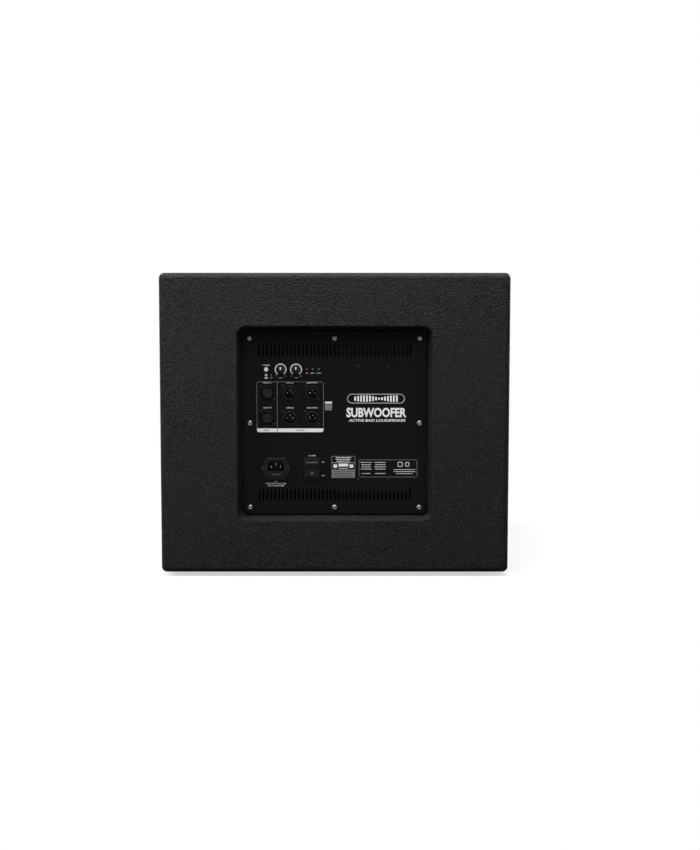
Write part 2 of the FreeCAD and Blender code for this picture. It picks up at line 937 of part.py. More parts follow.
def xlr_insert(x, z):
    """The round contact block of an input socket, with its three holes."""
    front = panel_face + 0.6
    back = panel_face - xlr_proud + xlr_cavity_depth
    insert = y_rod(xlr_insert_radius, x, z, front, back)
    rim = [e for e in insert.Edges if e.BoundBox.YMax < front + 1e-6]
    insert = insert.makeFillet(0.6, rim)
    holes = [y_rod(xlr_pin_radius + 0.3, px, pz, front - 1, back + 1) for px, pz in pin_places(x, z)]
    return cut_all(insert, holes)


def xlr_inputs():
    shells = [xlr_shell(x, z, xlr_socket_radius) for x, z in input_places]
    inserts = [xlr_insert(x, z) for x, z in input_places]
    return group(shells + inserts)


def xlr_outputs():
    """The output plugs, each with the small polarising rib at the foot of its shell."""
    shells = []
    for x, z in output_places:
        front = panel_face - xlr_proud
        rib = block(
            (x - 1.0, x + 1.0),
            (front + 3, front + xlr_cavity_depth),
            (z - xlr_plug_radius - 0.5, z - xlr_plug_radius + 0.9),
        )
        shells.append(joined([xlr_shell(x, z, xlr_plug_radius), rib]))
    return group(shells)


def xlr_contacts():
    """Sleeves in the inputs and round-nosed pins in the outputs, each in one piece."""
    contacts = []
    cavity_floor = panel_face - xlr_proud + xlr_cavity_depth
    for x, z in input_places:
        for px, pz in pin_places(x, z):
            sleeve = y_tube(
                xlr_pin_radius + 0.2, xlr_pin_radius - 0.2, px, pz, panel_face + 1.4, cavity_floor
            )
            contacts.append(sleeve)
    for x, z in output_places:
        for px, pz in pin_places(x, z):
            tip = cavity_floor - xlr_pin_length
            pin = y_rod(xlr_pin_radius, px, pz, tip, cavity_floor)
            nose = [e for e in pin.Edges if e.BoundBox.YMax < tip + 1e-6]
            contacts.append(pin.makeFillet(0.8, nose))
    return group(contacts)


def hexagon(width, height, flat, x, z, y):
    """The inlet flange's outline: flat top and bottom, and a point at each side."""
    half_w = width / 2
    half_h = height / 2
    half_f = flat / 2
    points = [
        (half_f, half_h),
        (half_w, 0),
        (half_f, -half_h),
        (-half_f, -half_h),
        (-half_w, 0),
        (-half_f, half_h),
    ]
    return polygon([V(x + px, y, z + pz) for px, pz in points])


def inlet_socket(x, z, y_low, y_high):
    """The keyed hollow for the mains plug, with its two upper corners cut off."""
    half_w = inlet_socket_width / 2
    half_h = inlet_socket_height / 2
    cut = inlet_key_cut
    points = [
        (-half_w, -half_h),
        (half_w, -half_h),
        (half_w, half_h - cut),
        (half_w - cut, half_h),
        (-half_w + cut, half_h),
        (-half_w, half_h - cut),
    ]
    outline = polygon([V(x + px, y_low, z + pz) for px, pz in points])
    return Part.Face(outline).extrude(V(0, y_high - y_low, 0))


def mains_inlet():
    x = inlet_x
    z = centre_z + inlet_z
    front = panel_face - inlet_flange
    flange_face = Part.Face(hexagon(inlet_width, inlet_height, inlet_flat, x, z, front))
    flange = flange_face.extrude(V(0, inlet_flange, 0))
    upright = [e for e in flange.Edges if e.BoundBox.YLength > inlet_flange / 2]
    flange = flange.makeFillet(inlet_tip_radius, upright)
    rim = [e for e in flange.Edges if e.BoundBox.YMax < front + 1e-6]
    flange = flange.makeFillet(0.8, rim)
    rear = panel_face + inlet_body_depth
    body = plate(inlet_body_width, inlet_body_height, 1, x, z, panel_face, rear)
    socket = inlet_socket(x, z + inlet_socket_rise, front - 1, front + inlet_socket_depth)
    slot_floor = front + drawer_depth + part_gap
    slot = plate(
        drawer_width + 2 * part_gap,
        drawer_height + 2 * part_gap,
        0.5,
        x,
        z - drawer_drop,
        front - 1,
        slot_floor,
    )
    blades = [
        block(
            (x + dx - blade_width / 2, x + dx + blade_width / 2),
            (front + inlet_socket_depth - 1, rear + 1),
            (z + inlet_socket_rise + dz - blade_height / 2, z + inlet_socket_rise + dz + blade_height / 2),
        )
        for dx, dz in blade_offsets
    ]
    holes = [
        y_rod(small_hole_radius, sx, sz, front - 1, panel_face + 1) for sx, sz in inlet_screw_places()
    ]
    return cut_all(joined([flange, body]), [socket, slot, *blades, *holes])


blade_offsets = [(-blade_pitch / 2, -blade_drop), (blade_pitch / 2, -blade_drop), (0, blade_drop)]


def inlet_blades():
    z = centre_z + inlet_z + inlet_socket_rise
    socket_floor = panel_face - inlet_flange + inlet_socket_depth
    rear = panel_face + inlet_body_depth + blade_tail
    blades = []
    for dx, dz in blade_offsets:
        blade = block(
            (inlet_x + dx - blade_width / 2, inlet_x + dx + blade_width / 2),
            (socket_floor - blade_length + 1, rear),
            (z + dz - blade_height / 2, z + dz + blade_height / 2),
        )
        tip = [e for e in blade.Edges if e.BoundBox.YMax < socket_floor - blade_length + 1.01]
        blades.append(blade.makeChamfer(0.5, tip))
    return group(blades)


def fuse_place():
    """The fuse's middle depth and height. It lies across the drawer."""
    return panel_face + 0.6 * drawer_depth, centre_z + inlet_z - drawer_drop


def fuse_drawer():
    """The pull-out fuse holder under the socket, with a notch for a fingernail."""
    z = centre_z + inlet_z - drawer_drop
    front = panel_face - inlet_flange - drawer_proud
    rear = panel_face - inlet_flange + drawer_depth
    tray = plate(drawer_width, drawer_height, 0.5, inlet_x, z, front, rear)
    rim = [e for e in tray.Edges if e.BoundBox.YMax < front + 1e-6]
    tray = tray.makeFillet(0.4, rim)
    notch_at = V(inlet_x - drawer_width, front - 1.6, z + drawer_height / 2 - 1.5)
    notch = Part.makeCylinder(drawer_notch_radius / 1.3, 2 * drawer_width, notch_at, X_AXIS)
    keep = block(
        (inlet_x - drawer_width / 4, inlet_x + drawer_width / 4),
        (front - 5, front + 5),
        (z - drawer_height, z + drawer_height),
    )
    y, fuse_z = fuse_place()
    half = fuse_length / 2 + part_gap
    pocket_radius = fuse_radius + 0.2
    pocket = rod(pocket_radius, V(inlet_x - half, y, fuse_z), V(inlet_x + half, y, fuse_z))
    window = block(
        (inlet_x - half, inlet_x + half),
        (y - pocket_radius, y + pocket_radius),
        (fuse_z, z + drawer_height),
    )
    return cut_all(tray, [notch.common(keep), pocket, window])


def fuse():
    """A 5 x 20 mm glass fuse: a glass tube between two metal caps."""
    y, z = fuse_place()
    half = fuse_length / 2
    glass_end = half - fuse_cap_length
    tube = rod(fuse_radius - 0.2, V(inlet_x - glass_end, y, z), V(inlet_x + glass_end, y, z))
    caps = [
        rod(fuse_radius, V(inlet_x + s * glass_end, y, z), V(inlet_x + s * half, y, z)) for s in (-1, 1)
    ]
    return joined([tube, *caps])


# ---------------------------------------------------------------- mains switch

switch_window_width = rocker_width + 2 * part_gap
switch_window_height = 2 * (rocker_reach + part_gap)
switch_body_width = switch_window_width + 2 * switch_wall
switch_body_height = switch_window_height + 2 * switch_wall - 1.4
rocker_pivot_y = panel_face + rocker_pivot_depth


def power_switch_housing():
    z = centre_z + switch_z
    front = panel_face - switch_bezel
    rear = panel_face + switch_depth
    bezel = plate(switch_width, switch_height, switch_corner, switch_x, z, front, panel_face)
    rim = [e for e in bezel.Edges if e.BoundBox.YMax < front + 1e-6]
    bezel = bezel.makeFillet(0.7, rim)
    body = plate(switch_body_width, switch_body_height, 0.5, switch_x, z, panel_face, rear)
    well = plate(
        switch_window_width,
        switch_window_height,
        0.3,
        switch_x,
        z,
        front - 1,
        panel_face + rocker_well_depth,
    )
    reach = rocker_width / 2 + rocker_pin_length + part_gap
    pin_hole = rod(
        rocker_pin_radius + 0.3,
        V(switch_x - reach, rocker_pivot_y, z),
        V(switch_x + reach, rocker_pivot_y, z),
    )
    tabs = [
        block(
            (switch_x + dx - 2.4, switch_x + dx + 2.4),
            (rear, rear + 8),
            (z + dz - 0.4, z + dz + 0.4),
        )
        for dx in (-5.5, 5.5)
        for dz in (-8, 8)
    ]
    return joined([cut_all(joined([bezel, body]), [well, pin_hole]), *tabs])


def power_rocker():
    """The rocker, tilted to off: its lower half is flush and its upper half stands out.

    In its middle position its front is a shallow V, and its ends are arcs about the pivot.
    """
    lean = tan(radians(rocker_half_angle))
    dip = (switch_bezel + rocker_pivot_depth + rocker_proud) / cos(radians(rocker_half_angle))
    reach = rocker_reach
    a = 1 + lean**2
    tip_z = (-dip * lean + sqrt((dip * lean) ** 2 - a * (dip**2 - reach**2))) / a
    tip_y = -dip - lean * tip_z
    back_z = sqrt(reach**2 - rocker_back**2)
    left = switch_x - rocker_width / 2
    z = centre_z + switch_z

    def at(y, dz):
        return V(left, rocker_pivot_y + y, z + dz)

    def end_arc(side):
        mid = (tip_y + rocker_back) / 2
        mid_z = sqrt(reach**2 - mid**2)
        return Part.Arc(at(tip_y, side * tip_z), at(mid, side * mid_z), at(rocker_back, side * back_z))

    edges = [
        end_arc(1).toShape(),
        Part.makeLine(at(rocker_back, back_z), at(rocker_back, -back_z)),
        end_arc(-1).toShape(),
        Part.makeLine(at(tip_y, -tip_z), at(-dip, 0)),
        Part.makeLine(at(-dip, 0), at(tip_y, tip_z)),
    ]
    wire = Part.Wire(Part.__sortEdges__(edges))
    body = Part.Face(wire).extrude(V(rocker_width, 0, 0))
    pin_reach = rocker_width / 2 + rocker_pin_length
    pin = rod(
        rocker_pin_radius,
        V(switch_x - pin_reach, rocker_pivot_y, z),
        V(switch_x + pin_reach, rocker_pivot_y, z),
    )
    rocker = joined([body, pin])
    rocker.rotate(V(0, rocker_pivot_y, z), X_AXIS, rocker_half_angle)
    return rocker


# ---------------------------------------------------------------- knobs, button, lamps, input board


def knob(x):
    """A fluted knob on its plastic shaft. It turns as one piece."""
    z = centre_z + control_row
    skirt_back = panel_face - 0.6
    skirt_front = skirt_back - knob_skirt_height
    top = panel_face - knob_height
    skirt = Part.makeCone(
        knob_skirt_radius, knob_skirt_radius - 0.8, knob_skirt_height, V(x, skirt_back, z), -Y_AXIS
    )
    body = Part.makeCone(knob_radius, knob_top_radius, skirt_front - top, V(x, skirt_front, z), -Y_AXIS)
    crown = [e for e in body.Edges if e.BoundBox.YMax < top + 1e-6]
    body = body.makeFillet(0.5, crown)
    flutes = []
    for i in range(knob_flutes):
        a = 2 * pi * (i + 0.5) / knob_flutes
        flutes.append(
            y_rod(
                knob_flute_radius,
                x + knob_radius * cos(a),
                z + knob_radius * sin(a),
                top + 1.5,
                skirt_front,
            )
        )
    head = joined([skirt, cut_all(body, flutes)])
    shaft_end = panel_back + pot_bush_length + 3
    shaft = y_rod(shaft_radius, x, z, skirt_back - 1, shaft_end)
    return joined([head, shaft])


def potentiometers():
    """The two potentiometers' cases, soldered to the input board, each with a bush for its shaft."""
    z = centre_z + control_row
    case_front = panel_back + pot_bush_length
    half = pot_size / 2
    cases = []
    for x in knob_columns.values():
        bush = y_rod(pot_bush_radius, x, z, panel_back, case_front)
        case = block((x - half, x + half), (case_front, input_board_face), (z - half, z + half))
        bore = y_rod(shaft_radius + 0.3, x, z, panel_back - 1, case_front + 4)
        cases.append(joined([bush, case]).cut(bore))
    return group(cases)


def phase_button():
    """A round cap on a square stem that slides in the switch's body."""
    z = centre_z + control_row
    cap_back = panel_back + phase_cap_inside
    cap = y_rod(phase_cap_radius, phase_column, z, panel_face - phase_cap_proud, cap_back)
    rim = [e for e in cap.Edges if e.BoundBox.YMax < panel_face - phase_cap_proud + 1e-6]
    cap = cap.makeFillet(0.6, rim)
    half = phase_stem / 2
    stem = block(
        (phase_column - half, phase_column + half), (cap_back, phase_stem_end), (z - half, z + half)
    )
    return joined([cap, stem])


phase_body_front = panel_back + phase_cap_inside + phase_travel + 1
phase_stem_end = phase_body_front + 5


def phase_switch():
    z = centre_z + control_row
    half = phase_body / 2
    hole = phase_stem / 2 + part_gap
    body = block(
        (phase_column - half, phase_column + half),
        (phase_body_front, input_board_face),
        (z - half, z + half),
    )
    well = block(
        (phase_column - hole, phase_column + hole),
        (phase_body_front - 1, phase_stem_end + phase_travel + 1),
        (z - hole, z + hole),
    )
    return body.cut(well)


def lamp(x):
    """A 3 mm indicator lamp: a domed lens, a flange behind the panel and two legs to the board."""
    z = centre_z + control_row
    shoulder = panel_face - lamp_proud + lamp_radius
    dome = Part.makeSphere(lamp_radius, V(x, shoulder, z))
    barrel = y_rod(lamp_radius, x, z, shoulder, panel_back)
    flange = y_rod(lamp_flange_radius, x, z, panel_back, panel_back + 3)
    half = lamp_leg / 2
    legs = [
        block(
            (x + s * lamp_leg_spread - half, x + s * lamp_leg_spread + half),
            (panel_back + 3, input_board_face),
            (z - half, z + half),
        )
        for s in (-1, 1)
    ]
    return joined([dome, barrel, flange, *legs])


def input_board():
    """The board behind the connectors and controls."""
    places = xlr_places()
    x_low = places[0][0] - xlr_flange / 2 - 1
    x_high = places[-1][0] + xlr_flange / 2 + 1
    z_low = places[0][1] - xlr_flange / 2 - 1
    z_high = centre_z + control_row + input_board_margin
    back = input_board_face + input_board_thickness
    return block((x_low, x_high), (input_board_face, back), (z_low, z_high))


# ---------------------------------------------------------------- enclosure and power electronics


def main_board_corners():
    """The main board's (x, z) ranges inside the enclosure."""
    reach = enclosure_inner / 2 - main_board_margin
    return (main_board_left, reach), (centre_z - reach, centre_z + reach)


def standoff_places():
    (x_low, x_high), (z_low, z_high) = main_board_corners()
    inset = standoff_inset
    return [(x, z) for x in (x_low + inset, x_high - inset) for z in (z_low + inset, z_high - inset)]


def transformer_place():
    """The transformer's (x, z) centre, tucked into the enclosure's lower left corner."""
    reach = enclosure_inner / 2 - transformer_radius - 3
    return -reach, centre_z - reach


def amp_enclosure():
    """A folded steel box that seals the electronics from the air in the cabinet."""
    size = enclosure_size
    inner = enclosure_inner
    outer = plate(size, size, 3, 0, centre_z, panel_back, enclosure_rear)
    room = plate(inner, inner, 2, 0, centre_z, panel_back - 1, enclosure_floor)
    board_back = panel_back + main_board_depth + board_thickness
    standoffs = [y_rod(standoff_radius, x, z, board_back, enclosure_floor) for x, z in standoff_places()]
    box = joined([outer.cut(room), *standoffs])
    bolt_x, bolt_z = transformer_place()
    bolt_hole = y_rod(clamp_bolt_radius + screw_fit, bolt_x, bolt_z, enclosure_floor - 1, enclosure_rear + 1)
    leads = [
        y_rod(lead_radius + screw_fit, x, lead_start_z, enclosure_floor - 1, enclosure_rear + 1)
        for x in lead_columns
    ]
    return cut_all(box, [bolt_hole, *leads])


def heatsink():
    """A finned extrusion bolted to the back of the panel, with a wing for the transistors."""
    z_low = centre_z - heatsink_height / 2
    z = (z_low, z_low + heatsink_height)
    x_low = heatsink_x - heatsink_width / 2
    x_high = x_low + heatsink_width
    base_back = panel_back + heatsink_base
    base = block((x_low, x_high), (panel_back, base_back), z)
    wing = block((x_low, x_low + heatsink_wing), (base_back, panel_back + heatsink_wing_reach), z)
    first = x_low + 2 * heatsink_wing
    step = (x_high - fin_thickness - first) / (fin_count - 1)
    fins = [
        block((first + i * step, first + i * step + fin_thickness), (base_back, panel_back + fin_reach), z)
        for i in range(fin_count)
    ]
    holes = [
        y_rod(small_hole_radius, x, zz, panel_back - 1, base_back + 1)
        for x, zz in heatsink_screw_places()
    ]
    return cut_all(joined([base, wing, *fins]), holes)


def power_transistors():
    """Output transistors clipped to the heat sink's wing, with legs down to the main board."""
    thick, deep, tall = transistor_size
    face = heatsink_x - heatsink_width / 2
    case = (panel_back + transistor_depth, panel_back + transistor_depth + deep)
    half = transistor_lead / 2
    solids = []
    for i in range(transistor_count):
        z = centre_z + (i - (transistor_count - 1) / 2) * transistor_pitch
        body = block((face - thick, face), case, (z - tall / 2, z + tall / 2))
        legs = [
            block(
                (face - thick / 2 - half, face - thick / 2 + half),
                (case[1], panel_back + main_board_depth),
                (z + dz - half, z + dz + half),
            )
            for dz in (-5, 0, 5)
        ]
        solids.append(joined([body, *legs]))
    return group(solids)


def main_board():
    x, z = main_board_corners()
    front = panel_back + main_board_depth
    return block(x, (front, front + board_thickness), z)


def filter_capacitors():
    """Two columns of can capacitors standing on the rear of the main board."""
    (x_low, x_high), _ = main_board_corners()
    face = panel_back + main_board_depth + board_thickness
    middle = (x_low + x_high) / 2
    cans = []
    for column in range(capacitor_columns):
        for row in (-1, 0, 1):
            x = middle + (column - (capacitor_columns - 1) / 2) * capacitor_pitch
            can = y_rod(capacitor_radius, x, centre_z + row * capacitor_pitch, face, face + capacitor_length)
            top = [e for e in can.Edges if e.BoundBox.YMin > face + capacitor_length - 1e-6]
            cans.append(can.makeFillet(1.5, top))
    return group(cans)


def mains_transformer():
    """A toroidal transformer lying on the enclosure's rear wall, over a thin pad."""
    x, z = transformer_place()
    rear = enclosure_floor - transformer_pad
    front = rear - transformer_thickness
    ring = y_tube(transformer_radius, transformer_hole_radius, x, z, front, rear)
    return ring.makeFillet(0.2 * transformer_thickness, ring.Edges)


def transformer_clamp():
    """A dished washer, and the bolt that holds the transformer to the enclosure."""
    x, z = transformer_place()
    front = enclosure_floor - transformer_pad - transformer_thickness
    dish = y_rod(clamp_dish_radius, x, z, front - clamp_dish_thickness, front)
    bolt = y_rod(clamp_bolt_radius, x, z, front - clamp_dish_thickness, enclosure_rear + 3)
    head = y_rod(2 * clamp_bolt_radius, x, z, front - clamp_dish_thickness - 5, front - clamp_dish_thickness)
    nut = y_rod(1.8 * clamp_bolt_radius, x, z, enclosure_rear, enclosure_rear + 5)
    return joined([dish, bolt, head, nut])


# ---------------------------------------------------------------- woofer

flange_front = woofer_seat + woofer_flange_thickness
roll_outer = woofer_flange_radius - woofer_gasket_width - surround_lip
roll_middle = roll_outer - surround_roll_radius
roll_inner = roll_middle - surround_roll_radius
cone_rim = roll_inner
cone_front = flange_front
cone_neck_y = cone_front - cone_depth
former_outer = coil_radius
former_inner = coil_radius - former_thickness
shelf_y = cone_neck_y - 14
motor_face = shelf_y - 30
former_back = motor_face - plate_thickness / 2 - coil_height / 2 - 2
former_front = cone_neck_y + 2
glue_gap = 0.3
gap_middle = motor_face - plate_thickness / 2
pole_radius = former_inner - coil_air
plate_bore = coil_radius + coil_thickness + coil_air
magnet_front = motor_face - plate_thickness
magnet_back = magnet_front - magnet_thickness
motor_back = magnet_back - plate_thickness
terminal_front = shelf_y - 1
terminal_back = terminal_front - terminal_size
terminal_z = centre_z + spider_shelf_radius + basket_wall + terminal_size / 2


def basket():
    """The cast frame: flange, collar, sloping arms, spider shelf and the seat of the motor."""
    collar = woofer_cutout_radius - 1
    wall = basket_wall
    collar_back = woofer_seat - basket_collar
    shelf = spider_shelf_radius
    profile = [
        (woofer_flange_radius, woofer_seat),
        (woofer_flange_radius, flange_front),
        (roll_outer - 1, flange_front),
        (roll_outer - 1, flange_front - wall),
        (collar - wall, flange_front - wall - 3),
        (collar - wall, collar_back),
        (shelf, shelf_y + 2),
        (shelf, shelf_y),
        (shelf - spider_shelf_lip, shelf_y),
        (shelf - spider_shelf_lip, shelf_y - wall),
        (motor_radius - wall, motor_face + wall),
        (plate_bore + 6, motor_face + wall),
        (plate_bore + 6, motor_face),
        (motor_radius, motor_face),
        (shelf + wall, shelf_y - wall),
        (shelf + wall, shelf_y),
        (collar, collar_back - 1),
        (collar, woofer_seat),
    ]
    frame = turned(profile)
    window_mid = (collar_back + shelf_y) / 2 - 3
    window_height = 0.62 * (collar_back - shelf_y)
    tools = []
    for i in range(basket_windows):
        window = block(
            (-0.16 * woofer_cutout_radius, 0.16 * woofer_cutout_radius),
            (window_mid - window_height / 2, window_mid + window_height / 2),
            (centre_z + motor_radius + 2 * wall, centre_z + woofer_flange_radius),
        )
        tools.append(turn_about_woofer(window, (i + 0.5) * 360 / basket_windows))
    hole = woofer_bolt_radius + part_gap
    tools += [y_rod(hole, x, z, woofer_seat - 1, flange_front + 1) for x, z in woofer_bolt_places()]
    terminal = block(
        (lead_x - terminal_width / 2, lead_x + terminal_width / 2),
        (terminal_back, terminal_front),
        (centre_z + spider_shelf_radius - 1, terminal_z + terminal_size / 2),
    )
    return joined([cut_all(frame, tools), terminal])


def roll_line(radius):
    """Points of the surround's half roll, at that radius from the roll's own centre."""
    steps = 14
    turns = [pi * i / steps for i in range(steps + 1)]
    y = flange_front
    return [(roll_middle + radius * cos(a), y + radius * sin(a)) for a in turns]


def surround():
    """A rubber half roll with a flat lip outside, under the gasket, and another inside."""
    thick = surround_thickness
    y = flange_front
    outside = roll_outer + surround_lip - part_gap
    inside = roll_inner - cone_lip
    front = [(outside, y), (outside, y + thick), (roll_outer, y + thick)]
    crest = [point for point in roll_line(surround_roll_radius) if point[1] > y + thick]
    tail = [(roll_inner, y + thick), (inside, y + thick), (inside, y)]
    hollow = list(reversed(roll_line(surround_roll_radius - thick)))
    return turned(front + crest + tail + hollow)


def cone():
    """The paper cone: a flat rim under the surround's inner lip, then a flare down to the neck."""
    line = [
        (cone_rim, cone_front),
        (cone_rim - cone_lip, cone_front),
        (cone_bend_radius, cone_bend_y),
        (former_outer + glue_gap, cone_neck_y),
    ]
    return turned_band(line, cone_thickness)


def cone_surface_y(radius):
    """The cone's front at a radius between its neck and its bend."""
    neck = former_outer + glue_gap
    return cone_neck_y + (radius - neck) / (cone_bend_radius - neck) * (cone_bend_y - cone_neck_y)


cone_bend_radius = (cone_rim + former_outer) / 2
cone_bend_y = cone_front - 0.42 * cone_depth


def dust_cap():
    """A shallow dome glued to the cone over the voice coil."""
    foot = cone_surface_y(dust_cap_radius) + dust_cap_thickness + glue_gap
    radius = (dust_cap_radius**2 + dust_cap_rise**2) / (2 * dust_cap_rise)
    half_angle = 2 * atan(dust_cap_rise / dust_cap_radius)
    steps = 10
    turns = [half_angle * (1 - i / steps) for i in range(steps + 1)]
    centre_y = foot + dust_cap_rise - radius
    line = [(radius * sin(a), centre_y + radius * cos(a)) for a in turns]
    return turned_band(line, dust_cap_thickness)


def voice_coil():
    """The coil's former, open at both ends, with the winding round its lower end."""
    former = y_tube(former_outer, former_inner, 0, centre_z, former_back, former_front)
    low = gap_middle - coil_height / 2
    winding = y_tube(former_outer + coil_thickness, former_outer, 0, centre_z, low, low + coil_height)
    return joined([former, winding])


def spider():
    """The corrugated cloth ring that centres the coil, glued to the basket's shelf."""
    outside = spider_shelf_radius - part_gap
    inside = former_outer + glue_gap
    lip = spider_shelf_lip
    first = inside + lip / 2
    last = outside - lip
    y = shelf_y + spider_thickness
    line = [(outside, y), (last, y)]
    steps = 2 * spider_folds
    for i in range(1, steps):
        side = 1 if i % 2 else -1
        line.append((last + (first - last) * i / steps, y + side * spider_wave))
    line += [(first, y), (inside, y)]
    return turned_band(line, spider_thickness)


def woofer_gasket():
    outer = circle(woofer_flange_radius, 0, centre_z, flange_front)
    holes = [circle(woofer_flange_radius - woofer_gasket_width, 0, centre_z, flange_front)]
    bolt_hole = woofer_bolt_radius + part_gap
    holes += [circle(bolt_hole, x, z, flange_front) for x, z in woofer_bolt_places()]
    return sheet(outer, holes, woofer_gasket_thickness)


def woofer_bolts():
    """The socket-head bolts through gasket and flange, and the tee nuts that they pull on."""
    head_at = flange_front + woofer_gasket_thickness
    head_radius = 1.8 * woofer_bolt_radius
    head_height = 2 * woofer_bolt_radius
    nut_hole = woofer_bolt_radius + screw_fit
    solids = []
    for x, z in woofer_bolt_places():
        head = y_rod(head_radius, x, z, head_at, head_at + head_height)
        socket = y_rod(0.55 * head_radius, x, z, head_at + 0.5 * head_height, head_at + 2 * head_height)
        shank = y_rod(woofer_bolt_radius, x, z, baffle_back - tee_nut_flange, head_at)
        flange = y_tube(tee_nut_radius, nut_hole, x, z, baffle_back - tee_nut_flange, baffle_back)
        barrel = y_tube(tee_nut_barrel_radius, nut_hole, x, z, baffle_back, baffle_back + tee_nut_barrel)
        solids += [joined([head.cut(socket), shank]), joined([flange, barrel])]
    return group(solids)


def motor_top_plate():
    return y_tube(motor_radius, plate_bore, 0, centre_z, magnet_front, motor_face)


def motor_magnet():
    return y_tube(magnet_radius, magnet_bore_radius, 0, centre_z, magnet_back, magnet_front)


def motor_yoke():
    """The back plate and the pole piece, with a vent through the middle."""
    disc = y_rod(motor_radius, 0, centre_z, motor_back, magnet_back)
    rim = [e for e in disc.Edges if e.BoundBox.YMax < motor_back + 1e-6]
    disc = disc.makeChamfer(3.0, rim)
    pole = y_rod(pole_radius, 0, centre_z, magnet_back, motor_face)
    vent = y_rod(pole_vent_radius, 0, centre_z, motor_back - 1, motor_face + 1)
    return joined([disc, pole]).cut(vent)


def speaker_leads():
    """Two leads that run back from the main board, turn up and meet the woofer's terminals."""
    start_y = panel_back + main_board_depth + board_thickness
    bend = lead_bend
    turn = lead_turn_y
    low = lead_start_z
    high = terminal_z
    half = bend * sqrt(0.5)
    leads = []
    for x in lead_columns:
        route = [
            Part.makeLine(V(x, start_y, low), V(x, turn - bend, low)),
            Part.Arc(
                V(x, turn - bend, low), V(x, turn - bend + half, low + bend - half), V(x, turn, low + bend)
            ).toShape(),
            Part.makeLine(V(x, turn, low + bend), V(x, turn, high - bend)),
            Part.Arc(
                V(x, turn, high - bend), V(x, turn + bend - half, high - bend + half), V(x, turn + bend, high)
            ).toShape(),
            Part.makeLine(V(x, turn + bend, high), V(x, terminal_back, high)),
        ]
        section = circle(lead_radius, x, low, start_y)
        leads.append(Part.Wire(route).makePipeShell([section], True, True))
    return group(leads)


# ---------------------------------------------------------------- the nodes


def input_board_assembly():
    """The board with the parts soldered to it: both potentiometers and the phase switch."""
    return group([input_board(), potentiometers(), phase_switch()])


def main_board_assembly():
    """The board with its can capacitors and the power transistors."""
    return group([main_board(), filter_capacitors(), power_transistors()])


def transformer_assembly():
    return group([mains_transformer(), transformer_clamp()])


def numbered(name, shape):
    """Each solid of a group as a node of its own: name_1, name_2 and so on."""
    return {f"{name}_{i + 1}": solid for i, solid in enumerate(shape.Solids)}


def cabinet_nodes():
    cabinet = rounded_cabinet()
    right = right_side(cabinet)
    return {
        "cabinet_top_board": top_board(cabinet),
        "cabinet_bottom_board": bottom_board(cabinet),
        "cabinet_left_side": mirrored(right),
        "cabinet_right_side": right,
        "cabinet_back_board": back_board(),
        "amp_mounting_frame": mounting_frame(),
        "front_baffle": baffle(),
        "internal_brace": window_brace(),
    }


def fitting_nodes():
    handle = right_handle()
    return {
        "grille": grille(),
        "grille_foam": grille_foam(),
        "grille_spacers": grille_spacers(),
        "grille_screws": grille_screws(),
        **numbered("port_tube", port_tubes()),
        "pole_socket": pole_socket(),
        "left_handle": mirrored(handle),
        "right_handle": handle,
        "cabinet_screws": cabinet_screws(),
        **numbered("rubber_foot", rubber_feet()),
    }


def woofer_nodes():
    return {
        "woofer_basket": basket(),
        "woofer_gasket": woofer_gasket(),
        "woofer_bolts": woofer_bolts(),
        "woofer_surround": surround(),
        "woofer_spider": spider(),
        "woofer_cone": cone(),
        "dust_cap": dust_cap(),
        "voice_coil": voice_coil(),
        "motor_top_plate": motor_top_plate(),
        "motor_magnet": motor_magnet(),
        "motor_yoke": motor_yoke(),
        "speaker_leads": speaker_leads(),
    }


def amplifier_nodes():
    return {
        "amp_panel": amp_panel(),
        "amp_gasket": amp_gasket(),
        "amp_panel_screws": amp_panel_screws(),
        "panel_small_screws": panel_small_screws(),
        "amp_enclosure": amp_enclosure(),
        "heatsink": heatsink(),
        "main_board": main_board_assembly(),
        "mains_transformer": transformer_assembly(),
        **{name: knob(x) for name, x in knob_columns.items()},
        "phase_button": phase_button(),
        **{name: lamp(x) for name, x in lamp_columns.items()},
        "input_board": input_board_assembly(),
        "xlr_inputs": xlr_inputs(),
        "xlr_outputs": xlr_outputs(),
        "xlr_contacts": xlr_contacts(),
        "mains_inlet": mains_inlet(),
        "inlet_blades": inlet_blades(),
        "fuse_drawer": fuse_drawer(),
        "fuse": fuse(),
        "power_switch_housing": power_switch_housing(),
        "power_rocker": power_rocker(),
    }


os.makedirs("parts", exist_ok=True)
for nodes in (cabinet_nodes(), fitting_nodes(), woofer_nodes(), amplifier_nodes()):
    for name, shape in nodes.items():
        shape.exportStep(f"parts/{name}.step")
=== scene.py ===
"""A powered stage subwoofer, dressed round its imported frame. Lengths are in metres unless named _MM."""

import json
import random
from math import cos, pi, radians, sin

